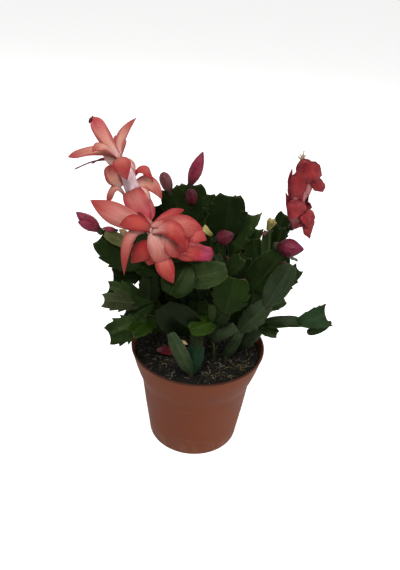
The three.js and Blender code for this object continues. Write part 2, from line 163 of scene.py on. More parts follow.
def facingWay(azimuth, lift):
    rise = math.radians(lift)
    return Vector((*onCircle(math.cos(rise), math.radians(azimuth)), math.sin(rise)))


def unit(rows):
    return rows / np.linalg.norm(rows, axis=1, keepdims=True)


# Camera, at the photo's place
cameraSetup = {
    "place": (-1.3, -386.5, 369.4),
    "target": (-1.3, 0, 139),
    "roll": 3.7,
    "lens": 38.0,
    "sensor": 36,
}


def buildCamera(setup):
    data = bpy.data.cameras.new("camera")
    data.lens = setup["lens"]
    data.sensor_width = setup["sensor"]
    spot, target = (Vector(setup[part]) * mm for part in ("place", "target"))
    bpy.context.scene.camera = addAimed("camera", data, spot, target, setup["roll"])


buildCamera(cameraSetup)
print("camera ready")

# Shader helpers
def feed(tree, socket, value):
    # Links another socket to this one, or sets a number or a colour on it
    if isinstance(value, bpy.types.NodeSocket):
        tree.links.new(value, socket)
    elif socket.type == "RGBA":
        socket.default_value = (*value[:3], 1)
    else:
        socket.default_value = value


def addNode(tree, kind, settings, *values, **titled):
    # Values feed the node's sockets in their order, and titled ones by name
    node = tree.nodes.new("ShaderNode" + kind)
    for key, value in settings.items():
        setattr(node, key, value)
    for key, value in [*enumerate(values), *titled.items()]:
        feed(tree, node.inputs[key], value)
    return node


def mathNode(tree, operation, first, second=0.0):
    return addNode(tree, "Math", {"operation": operation}, first, second).outputs[0]


def product(tree, first, second):
    return mathNode(tree, "MULTIPLY", first, second)


def inverse(tree, mask):
    return mathNode(tree, "SUBTRACT", 1.0, mask)


def ranged(tree, mask, ends):
    # A value that goes from one end to the other with the mask
    return addNode(tree, "MapRange", {}, mask, 0.0, 1.0, *ends).outputs[0]


def smoothMask(tree, value, limits):
    # 0 below the first limit, 1 above the second, smooth between
    settings = {"interpolation_type": "SMOOTHSTEP"}
    return addNode(tree, "MapRange", settings, value, *limits, 0.0, 1.0).outputs[0]


def mixColor(tree, factor, first, second, blend="MIX"):
    node = addNode(tree, "Mix", {"data_type": "RGBA", "blend_type": blend})
    for index, value in zip((0, 6, 7), (factor, first, second)):  # the sockets that mix colours
        feed(tree, node.inputs[index], value)
    return node.outputs[2]


def shaded(tree, tint, color):
    return mixColor(tree, 1.0, tint, color, "MULTIPLY")


def layer(tree, base, mask, coat):
    # A coat is a colour and how strongly the mask lays it over the base
    color, strength = coat
    return mixColor(tree, product(tree, mask, strength), base, color)


def newGroup(name, inputs, outputs):
    group = bpy.data.node_groups.new(name, "ShaderNodeTree")
    for way, titles in (("INPUT", inputs), ("OUTPUT", outputs)):
        for title in titles:
            group.interface.new_socket(name=title, in_out=way, socket_type="NodeSocketFloat")
    return group, group.nodes.new("NodeGroupInput").outputs, group.nodes.new("NodeGroupOutput").inputs


def buildPatchGroup():
    # Uneven patches from the object's own coordinates: a mask from 0 to 1
    group, start, end = newGroup("unevenPatches", ["Scale", "Low", "High"], ["Mask"])
    coords = addNode(group, "TexCoord", {}).outputs["Object"]
    patches = addNode(group, "TexNoise", {}, Vector=coords, Scale=start["Scale"], Detail=4.0, Roughness=0.55)
    feed(group, end["Mask"], smoothMask(group, patches.outputs[0], (start["Low"], start["High"])))
    return group


def buildStreakGroup():
    # Fine streaks along a blade or petal, from its own UV map, with the distance from its middle line
    group, start, end = newGroup("streaksAlong", ["Across", "Along"], ["Streaks", "Middle", "Share"])
    uv = addNode(group, "UVMap", {"uv_map": "UVMap"}).outputs[0]
    across, along = addNode(group, "SeparateXYZ", {}, uv).outputs[:2]
    wide = product(group, across, start["Across"])
    long = product(group, along, start["Along"])
    spot = addNode(group, "CombineXYZ", {}, wide, long).outputs[0]
    streaks = addNode(group, "TexNoise", {}, Vector=spot, Scale=1.0, Detail=3.0, Roughness=0.5)
    aside = mathNode(group, "ABSOLUTE", mathNode(group, "SUBTRACT", across, 0.5))
    feed(group, end["Streaks"], streaks.outputs[0])
    feed(group, end["Middle"], product(group, aside, 2.0))
    feed(group, end["Share"], along)
    return group


unevenPatches = buildPatchGroup()
streaksAlong = buildStreakGroup()


def patchesOf(tree, values):
    # A scale and the mask's two limits give one mask
    return addNode(tree, "Group", {"node_tree": unevenPatches}, *values).outputs[0]


def streaksOf(tree, values):
    # Counts across and along give streaks, distance from the middle line and share of the length
    return addNode(tree, "Group", {"node_tree": streaksAlong}, *values).outputs[:3]


def tintOf(tree):
    return addNode(tree, "Attribute", {"attribute_name": "tint"}).outputs["Color"]


def newMaterial(name):
    material = bpy.data.materials.new(name)
    material.use_nodes = True
    return material, material.node_tree, material.node_tree.nodes["Principled BSDF"]


def finishSurface(tree, shader, look, base, mask, relief):
    # The mask goes from the first roughness to the second
    strength, distance = look["bump"]
    bump = addNode(tree, "Bump", {}, Strength=strength, Distance=distance, Height=relief)
    sockets = {
        "Base Color": base,
        "Roughness": ranged(tree, mask, look["roughness"]),
        "Specular IOR Level": look["specular"],
        "Specular Tint": look["gloss"],
        "Normal": bump.outputs[0],
    }
    for title, value in sockets.items():
        feed(tree, shader.inputs[title], value)


# Leafy flesh: each segment's own green, a lighter rib and rim, pale streaks, a waxy film that also paints a
# sheen, and reddish tips
leafLook = {
    "shade": (0.50, 0.54, 0.44),
    "streak": ((1.7, 1.6, 1.6), 0.32),
    # Fine pale bluish patches: a waxy film, and also a painted sheen
    "filmAndSheen": ((3.4, 2.4, 5.5), 0.10),
    "rib": ((2.8, 2.4, 2.4), 0.28),
    "rim": ((3.2, 2.6, 2.3), 0.6),
    "tip": ((0.075, 0.022, 0.016), 0.6),
    "streakMask": (0.48, 0.7),
    "ribMask": (0.02, 0.12),
    "rimMask": (0.86, 1.0),
    "tipMask": (0.93, 1.0),
    "cornerMask": (0.5, 0.9),
    "lines": (16.0, 2.2),
    "patches": (70.0, 0.32, 0.7),
    "pores": (420.0, 0.3, 0.75),
    "poreRelief": 0.6,
    "roughness": (0.32, 0.46),
    "specular": 0.12,
    "gloss": (0.75, 1.0, 0.45),
    "bump": (0.18, 0.0004),
}


def buildLeafMaterial(name, look):
    material, tree, shader = newMaterial(name)
    tint = tintOf(tree)
    streaks, middle, share = streaksOf(tree, look["lines"])
    broad = patchesOf(tree, look["patches"])
    pores = patchesOf(tree, look["pores"])
    masks = {
        "streak": smoothMask(tree, streaks, look["streakMask"]),
        "filmAndSheen": pores,
        "rib": inverse(tree, smoothMask(tree, middle, look["ribMask"])),
        "rim": smoothMask(tree, middle, look["rimMask"]),
    }
    base = mixColor(tree, broad, shaded(tree, tint, look["shade"]), tint)
    for part, mask in masks.items():
        color, strength = look[part]
        base = layer(tree, base, mask, (shaded(tree, tint, color), strength))
    ends = smoothMask(tree, share, look["tipMask"])
    corners = product(tree, ends, smoothMask(tree, middle, look["cornerMask"]))
    base = layer(tree, base, corners, look["tip"])
    relief = mathNode(tree, "ADD", product(tree, pores, look["poreRelief"]), streaks)
    finishSurface(tree, shader, look, base, broad, relief)
    return material


# Petal: pale foot, salmon middle, crimson rim and tip; "tint" holds blush, magenta and paleness
petalLook = {
    "foot": (0.68, 0.46, 0.43),
    "middle": (0.60, 0.32, 0.23),
    "rim": (0.27, 0.011, 0.017),
    "blush": (0.30, 0.018, 0.014),
    "magenta": (0.52, 0.035, 0.085),
    "wornAndSheen": (0.62, 0.38, 0.30),
    "wearAndSheen": 0.16,
    "vein": 0.34,
    "paleness": 0.85,
    "paleRim": 0.65,  # what paleness takes off the rim
    "ragged": 0.55,
    "footMask": (0.06, 0.4),
    "rimMask": (0.34, 0.98),
    "tipMask": (0.44, 0.98),
    "veinMask": (0.48, 0.7),
    "lines": (30.0, 1.5),
    "patches": (90.0, 0.3, 0.72),
    "roughness": (0.36, 0.5),
    "specular": 0.25,
    "gloss": (1.0, 0.7, 0.6),
    "glow": 0.12,
    "glowReach": 0.002,
    "bump": (0.5, 0.0005),
}
lowerLook = {
    **petalLook,
    "foot": (0.55, 0.30, 0.26),
    "middle": (0.42, 0.076, 0.056),
    "magenta": (0.44, 0.028, 0.050),
    "rim": (0.225, 0.004, 0.009),
    "rimMask": (0.30, 0.96),
    "blush": (0.34, 0.011, 0.011),
    "wornAndSheen": (0.52, 0.24, 0.18),
    "wearAndSheen": 0.10,
}
wiltedLook = {
    **petalLook,
    "foot": (0.42, 0.19, 0.20),
    "middle": (0.19, 0.007, 0.012),
    "rim": (0.085, 0.004, 0.009),
    "blush": (0.145, 0.005, 0.010),
    "magenta": (0.14, 0.010, 0.026),
    # On the wilted bloom the lighter patches are stronger: wear, and painted streaky highlights
    "wornAndSheen": (0.46, 0.075, 0.075),
    "wearAndSheen": 0.34,
    "rimMask": (0.45, 1.0),
    "tipMask": (0.6, 1.0),
    "roughness": (0.26, 0.5),
    "glow": 0.05,
    "gloss": (1.0, 0.55, 0.5),
}
fallenLook = {
    **wiltedLook,
    "middle": (0.105, 0.004, 0.009),
    "blush": (0.075, 0.003, 0.006),
    "magenta": (0.055, 0.004, 0.009),
    "wornAndSheen": (0.15, 0.016, 0.020),
}


def buildPetalMaterial(name, look):
    material, tree, shader = newMaterial(name)
    blush, magenta, pale = addNode(tree, "SeparateColor", {}, tintOf(tree)).outputs[:3]
    streaks, middle, share = streaksOf(tree, look["lines"])
    broad = patchesOf(tree, look["patches"])
    ragged = product(tree, mathNode(tree, "SUBTRACT", streaks, 0.5), look["ragged"])
    edge = smoothMask(tree, mathNode(tree, "ADD", middle, ragged), look["rimMask"])
    tip = smoothMask(tree, mathNode(tree, "ADD", share, ragged), look["tipMask"])
    kept = inverse(tree, product(tree, pale, look["paleRim"]))
    rim = product(tree, mathNode(tree, "MAXIMUM", edge, tip), kept)
    foot = inverse(tree, smoothMask(tree, share, look["footMask"]))
    base = mixColor(tree, foot, look["middle"], look["foot"])
    base = layer(tree, base, pale, (look["foot"], look["paleness"]))
    for part, mask in {"blush": blush, "rim": rim, "magenta": magenta}.items():
        base = mixColor(tree, mask, base, look[part])
    base = layer(tree, base, smoothMask(tree, streaks, look["veinMask"]), (look["rim"], look["vein"]))
    # Lighter patches: wear, and on the wilted bloom painted highlights
    base = layer(tree, base, broad, (look["wornAndSheen"], look["wearAndSheen"]))
    finishSurface(tree, shader, look, base, broad, streaks)
    feed(tree, shader.inputs["Subsurface Weight"], look["glow"])
    feed(tree, shader.inputs["Subsurface Scale"], look["glowReach"])
    return material


# Buds, tubes and other flesh painted by "tint", with streaks along them
fleshLook = {
    "shade": (0.55, 0.5, 0.5),
    "light": (2.2, 1.6, 1.75),
    "streak": 0.5,
    "streakMask": (0.48, 0.75),
    "lines": (24.0, 2.0),
    "patches": (160.0, 0.3, 0.7),
    "roughness": (0.34, 0.5),
    "specular": 0.25,
    "gloss": (1.0, 0.7, 0.7),
    "bump": (0.5, 0.0005),
}


def buildFleshMaterial(name, look):
    material, tree, shader = newMaterial(name)
    tint = tintOf(tree)
    streaks = streaksOf(tree, look["lines"])[0]
    broad = patchesOf(tree, look["patches"])
    base = mixColor(tree, broad, shaded(tree, tint, look["shade"]), tint)
    light = shaded(tree, tint, look["light"])
    base = layer(tree, base, smoothMask(tree, streaks, look["streakMask"]), (light, look["streak"]))
    finishSurface(tree, shader, look, base, broad, streaks)
    return material


# Pot: satin terracotta-coloured plastic with faint rings, specks, scratches, a little dust and a lip darkened
# with painted shade
potLook = {
    "plain": (0.152, 0.039, 0.0165),
    "dark": (0.132, 0.032, 0.0135),
    "specks": ((0.26, 0.10, 0.065), 0.22),
    "scratches": ((0.26, 0.10, 0.065), 0.3),
    "dust": ((0.26, 0.16, 0.12), 0.35),
    # The top of the lip is darkened in colour: a painted shade where shade falls on the thin rim
    "lipShade": ((0.030, 0.012, 0.008), 0.8),
    "patches": (26.0, 0.3, 0.7),
    "speckPatches": (900.0, 0.62, 0.72),
    "dustPatches": (120.0, 0.35, 0.7),
    "scratchScale": (60.0, 60.0, 900.0),
    "scratchMask": (0.64, 0.74),
    "dustHeights": (0.0, 0.02),
    "lipShadeHeights": (0.0846, 0.0858),
    "ringsPerMetre": 260.0,
    "ringRelief": 0.03,
    "roughness": (0.52, 0.66),
    "specular": 0.22,
    "gloss": (1.0, 0.62, 0.45),
    "bump": (0.25, 0.0003),
}


def buildPotMaterial(name, look):
    material, tree, shader = newMaterial(name)
    coords = addNode(tree, "TexCoord", {}).outputs["Object"]
    height = addNode(tree, "SeparateXYZ", {}, coords).outputs[2]
    stretched = addNode(tree, "Mapping", {}, Vector=coords, Scale=look["scratchScale"]).outputs[0]
    scratch = addNode(tree, "TexNoise", {}, Vector=stretched, Scale=1.0, Detail=2.0).outputs[0]
    broad = patchesOf(tree, look["patches"])
    low = inverse(tree, smoothMask(tree, height, look["dustHeights"]))
    masks = {
        "specks": patchesOf(tree, look["speckPatches"]),
        "scratches": smoothMask(tree, scratch, look["scratchMask"]),
        "dust": product(tree, low, patchesOf(tree, look["dustPatches"])),
        # The painted shade on the lip, above these heights
        "lipShade": smoothMask(tree, height, look["lipShadeHeights"]),
    }
    base = mixColor(tree, broad, look["dark"], look["plain"])
    for part, mask in masks.items():
        base = layer(tree, base, mask, look[part])
    rings = mathNode(tree, "SINE", product(tree, height, look["ringsPerMetre"] * 2 * math.pi))
    relief = mathNode(tree, "ADD", product(tree, rings, look["ringRelief"]), scratch)
    finishSurface(tree, shader, look, base, broad, relief)
    return material


# Soil: near-black peat, by "tint", with lighter specks that are less rough
soilLook = {
    "shade": (0.45, 0.42, 0.4),
    "speck": ((0.10, 0.085, 0.05), 0.5),
    "patches": (150.0, 0.3, 0.7),
    "specks": (1100.0, 0.52, 0.7),
    "roughness": (0.9, 0.45),
    "specular": 0.2,
    "gloss": (1.0, 1.0, 1.0),
    "bump": (0.9, 0.0012),
}


def buildSoilMaterial(name, look):
    material, tree, shader = newMaterial(name)
    tint = tintOf(tree)
    broad = patchesOf(tree, look["patches"])
    fine = patchesOf(tree, look["specks"])
    base = mixColor(tree, broad, shaded(tree, tint, look["shade"]), tint)
    base = layer(tree, base, fine, look["speck"])
    finishSurface(tree, shader, look, base, fine, mathNode(tree, "ADD", broad, fine))
    return material


leafMaterial = buildLeafMaterial("leafFlesh", leafLook)
petalMaterial = buildPetalMaterial("petalFlesh", petalLook)
lowerMaterial = buildPetalMaterial("lowerPetalFlesh", lowerLook)
wiltedMaterial = buildPetalMaterial("wiltedPetal", wiltedLook)
fallenMaterial = buildPetalMaterial("fallenPetal", fallenLook)
fleshMaterial = buildFleshMaterial("budFlesh", fleshLook)
potMaterial = buildPotMaterial("terracottaPlastic", potLook)
soilMaterial = buildSoilMaterial("pottingSoil", soilLook)
print("materials ready")

# Lines and sheets: a flat sheet is laid along one arc, a rolled one along a path
def bladeLine(start, through, tip, facing):
    slope = (tip - start).normalized()
    return {
        "start": np.array(start),
        "control": np.array(2 * through - 0.5 * start - 0.5 * tip),
        "tip": np.array(tip),
        "slope": np.array(slope),
        "face": np.array((facing - slope * facing.dot(slope)).normalized()),
    }


def layAlong(spots, line, halfWidth, thickness, cup=0.0, twist=0.0, ruffle=None, crease=0.0):
    # x is a share of the half width, y of the length and z of the thickness
    x, y, z = spots[:, 0:1], spots[:, 1:2], spots[:, 2:3]
    start, control, tip = line["start"], line["control"], line["tip"]
    middle = (1 - y) ** 2 * start + 2 * y * (1 - y) * control + y ** 2 * tip
    slope = unit(2 * (y - 1) * start + (2 - 4 * y) * control + 2 * y * tip)
    turnAxis = np.cross(line["slope"], slope)
    share = slope @ line["slope"][:, None]
    lean = turnAxis @ line["face"][:, None]
    face = line["face"] * share + np.cross(turnAxis, line["face"]) + turnAxis * lean / (1 + share)
    across = np.cross(slope, face)
    angle = np.radians(twist) * (y - 0.5) * 2
    sideways = across * np.cos(angle) + face * np.sin(angle)
    outward = face * np.cos(angle) - across * np.sin(angle)
    rise = (cup * x ** 2 + crease * np.abs(x)) * halfWidth
    if ruffle:
        rise = rise + ruffle(x, y)
    return middle + sideways * x * halfWidth + outward * (z * thickness + rise)


def pathThrough(points, shares):
    # A smooth path through the points: places, and two directions across it
    points = np.array(points, float) * mm
    ends = np.vstack([2 * points[0] - points[1], points, 2 * points[-1] - points[-2]])

    def at(share):
        step = np.clip(share, 0, 1) * (len(points) - 1)
        first = np.minimum(step.astype(int), len(points) - 2)
        t = (step - first)[:, None]
        a, b, c, d = (ends[first + k] for k in range(4))
        return 0.5 * (2 * b + (c - a) * t + (2 * a - 5 * b + 4 * c - d) * t ** 2
                      + (3 * b - a - 3 * c + d) * t ** 3)

    small = 0.004
    slope = unit(at(np.minimum(shares + small, 1)) - at(np.maximum(shares - small, 0)))
    whole = points[-1] - points[0]
    helper = np.eye(3)[int(np.argmin(np.abs(whole)))]
    side = unit(np.cross(slope, helper))
    return at(shares), side, np.cross(side, slope)


def rolledSheet(name, points, radii, stops, around=12, along=12, bulge=None):
    # radii are pairs of a share of the length and a radius in millimetres, stops of a share and a colour
    sheet = gridSheet(name, around, along)
    spots = spotsOf(sheet)
    turn = (spots[:, 0] + 1) * math.pi
    share = (spots[:, 1] + 1) / 2
    centre, side, up = pathThrough(points, share)
    radius = np.interp(share, [r[0] for r in radii], [r[1] for r in radii]) * mm
    if bulge:
        radius = radius * bulge(turn, share)
    ring = side * np.cos(turn)[:, None] + up * np.sin(turn)[:, None]
    setSpots(sheet, centre + ring * radius[:, None])
    knots = [s[0] for s in stops]
    shades = [np.interp(share, knots, [s[1][k] for s in stops]) for k in range(3)]
    return paint(sheet, "tint", np.stack(shades, axis=1))


def rolledPiece(name, points, radii, stops, material, around=12, along=12, bulge=None):
    return dress(closeSeams(rolledSheet(name, points, radii, stops, around, along, bulge)), material)


# Stem segments: each form is a sheet with toothed margins, thick along its rib
acrossShares = [-1, -0.95, -0.8, -0.55, -0.3, -0.12, 0, 0.12, 0.3, 0.55, 0.8, 0.95, 1]
acrossThickness = [0.08, 0.24, 0.36, 0.42, 0.5, 0.78, 1, 0.78, 0.5, 0.42, 0.36, 0.24, 0.08]
stalkThickness = [0.15, 0.45, 0.7, 0.86, 0.95, 0.99, 1, 0.99, 0.95, 0.86, 0.7, 0.45, 0.15]
segmentForms = {
    "broad": {
        "teeth": [[0.3, 0.53, 0.77], [0.24, 0.44, 0.68]],
        "foot": 0.26, "peak": 0.58, "tip": 0.5, "depth": 0.15, "horn": 1.015, "ribEnd": 0.965,
    },
    "horned": {
        "teeth": [[0.26, 0.44, 0.62, 0.82], [0.2, 0.36, 0.55, 0.75]],
        "foot": 0.24, "peak": 0.6, "tip": 0.56, "depth": 0.24, "horn": 1.03, "ribEnd": 0.95,
    },
    "fan": {
        "teeth": [[0.42, 0.7, 0.86], [0.36, 0.62, 0.82]],
        "foot": 0.26, "peak": 0.9, "tip": 0.98, "depth": 0.1, "horn": 1.05, "ribEnd": 0.92,
    },
    "smooth": {
        "teeth": [[0.38, 0.66, 0.86], [0.3, 0.56, 0.8]],
        "foot": 0.26, "peak": 0.5, "tip": 0.36, "depth": 0.045, "horn": 0.97, "ribEnd": 0.985,
    },
    "small": {
        "teeth": [[0.42, 0.7], [0.34, 0.6]],
        "foot": 0.3, "peak": 0.58, "tip": 0.5, "depth": 0.12, "horn": 1.01, "ribEnd": 0.965,
    },
    "stalk": {
        "teeth": [[0.5], [0.62]],
        "foot": 0.72, "peak": 0.5, "tip": 0.72, "depth": 0.04, "horn": 1.0, "ribEnd": 0.99,
    },
}
marginShape = {
    "steps": [0, 0.18, 0.4, 0.62, 0.8, 0.93, 1],  # places of the points between two teeth
    "rise": 0.9,
    "fall": 2.2,
    "shoulder": 0.75,
    "swell": 1.5,
    "stepBack": 0.45,
    "hook": 0.01,
    "sweep": 2.4,
    "roundFoot": 0.22,
    "thinnest": 0.02,
}


def marginOf(form, teeth, shape):
    # From foot to horn: between two teeth the margin swells, then it steps back behind the tooth
    def envelope(u):
        if u < form["peak"]:
            rise = math.sin(math.pi / 2 * u / form["peak"]) ** shape["rise"]
            return form["foot"] + (1 - form["foot"]) * rise
        fall = min((u - form["peak"]) / (1 - form["peak"]), 1) ** shape["fall"]
        return form["tip"] + (1 - form["tip"]) * (1 - fall) ** shape["shoulder"]

    points = []
    before = 0
    for tooth in [*teeth, 1]:
        for step in shape["steps"]:
            u = before + (tooth - before) * step
            back = shape["stepBack"] * (1 if before else step)
            points.append([u, envelope(u) * (1 + form["depth"] * (step ** shape["swell"] - back))])
        points[-1][0] = tooth + shape["hook"]
        before = tooth
    points[-1][0] = form["horn"]
    return points


def buildSegmentMaster(name, form, thickness, shape):
    left, right = (marginOf(form, teeth, shape) for teeth in form["teeth"])
    rows = len(left) - 1
    columns = len(acrossShares) - 1
    sheet = gridSheet("master_" + name, columns, rows)
    spots = spotsOf(sheet)
    group = sheet.vertex_groups.new(name="thick")
    for index, (x, y, _) in enumerate(spots):
        column = round((x + 1) / 2 * columns)
        row = round((y + 1) / 2 * rows)
        v = acrossShares[column]
        u, width = (left if v < 0 else right)[row]
        ribAt = row / rows * form["ribEnd"]
        spots[index] = (v * width, ribAt + (u - ribAt) * abs(v) ** shape["sweep"], 0)
        # The foot is round in section, and the blade beyond it is flat
        rounder = max(0.0, 1 - row / rows / shape["roundFoot"])
        section = math.sqrt(max(shape["thinnest"], 1 - v * v))
        group.add([index], thickness[column] * (1 - rounder) + section * rounder, "REPLACE")
    setSpots(sheet, spots)
    thicken(sheet, group.name)
    sheet.vertex_groups.clear()
    bpy.ops.object.shade_smooth()
    return dress(sheet, leafMaterial)


segmentMasters = {
    name: buildSegmentMaster(name, form, stalkThickness if name == "stalk" else acrossThickness, marginShape)
    for name, form in segmentForms.items()
}

# Greens, from old stems near the soil to fresh growth, and darker and lighter copies that paint shade and
# light on the segments
greens = {
    "old": (0.015, 0.022, 0.008),
    # A near-black green that paints the deep shade on segments inside the plant
    "shadow": (0.0022, 0.0045, 0.0012),
    # A darker green, the segments' own colour and also painted shade on inner segments
    "dark": (0.0058, 0.0120, 0.0024),
    "mid": (0.0115, 0.0230, 0.0048),
    # A greyish green, partly the segments' own colour and partly a painted reflection of the sky on faces
    # turned up
    "grey": (0.022, 0.035, 0.015),
    # A paler green, partly the segments' own colour and partly painted light on faces turned to the lamp
    "light": (0.022, 0.036, 0.0105),
    "young": (0.0130, 0.0300, 0.0024),
    "olive": (0.034, 0.042, 0.017),
    # A blue-green, partly the segment's own colour and partly a painted highlight on the face that catches it
    "bluish": (0.019, 0.042, 0.0165),
    "teal": (0.0065, 0.0200, 0.0100),
    "yellow": (0.095, 0.098, 0.036),
    "toothed": (0.0062, 0.0155, 0.0013),
}
segmentShape = {
    "sunkFoot": 2.6,
    "ribThickness": 2.8,
    "bow": 0.05,
    "cup": 0.06,
    "toothedFrom": 9.5,
    "manyTeethFrom": 13.5,
    "twist": 7,
    "ruffle": 0.5,
    "ruffledFrom": 16,
    "waves": (0.8, 1.4),
    "slant": 1.0,
    "lightness": (0.75, 1.3),
}
usualFacing = (-90, 31)  # azimuth and lift of a face that looks at the camera

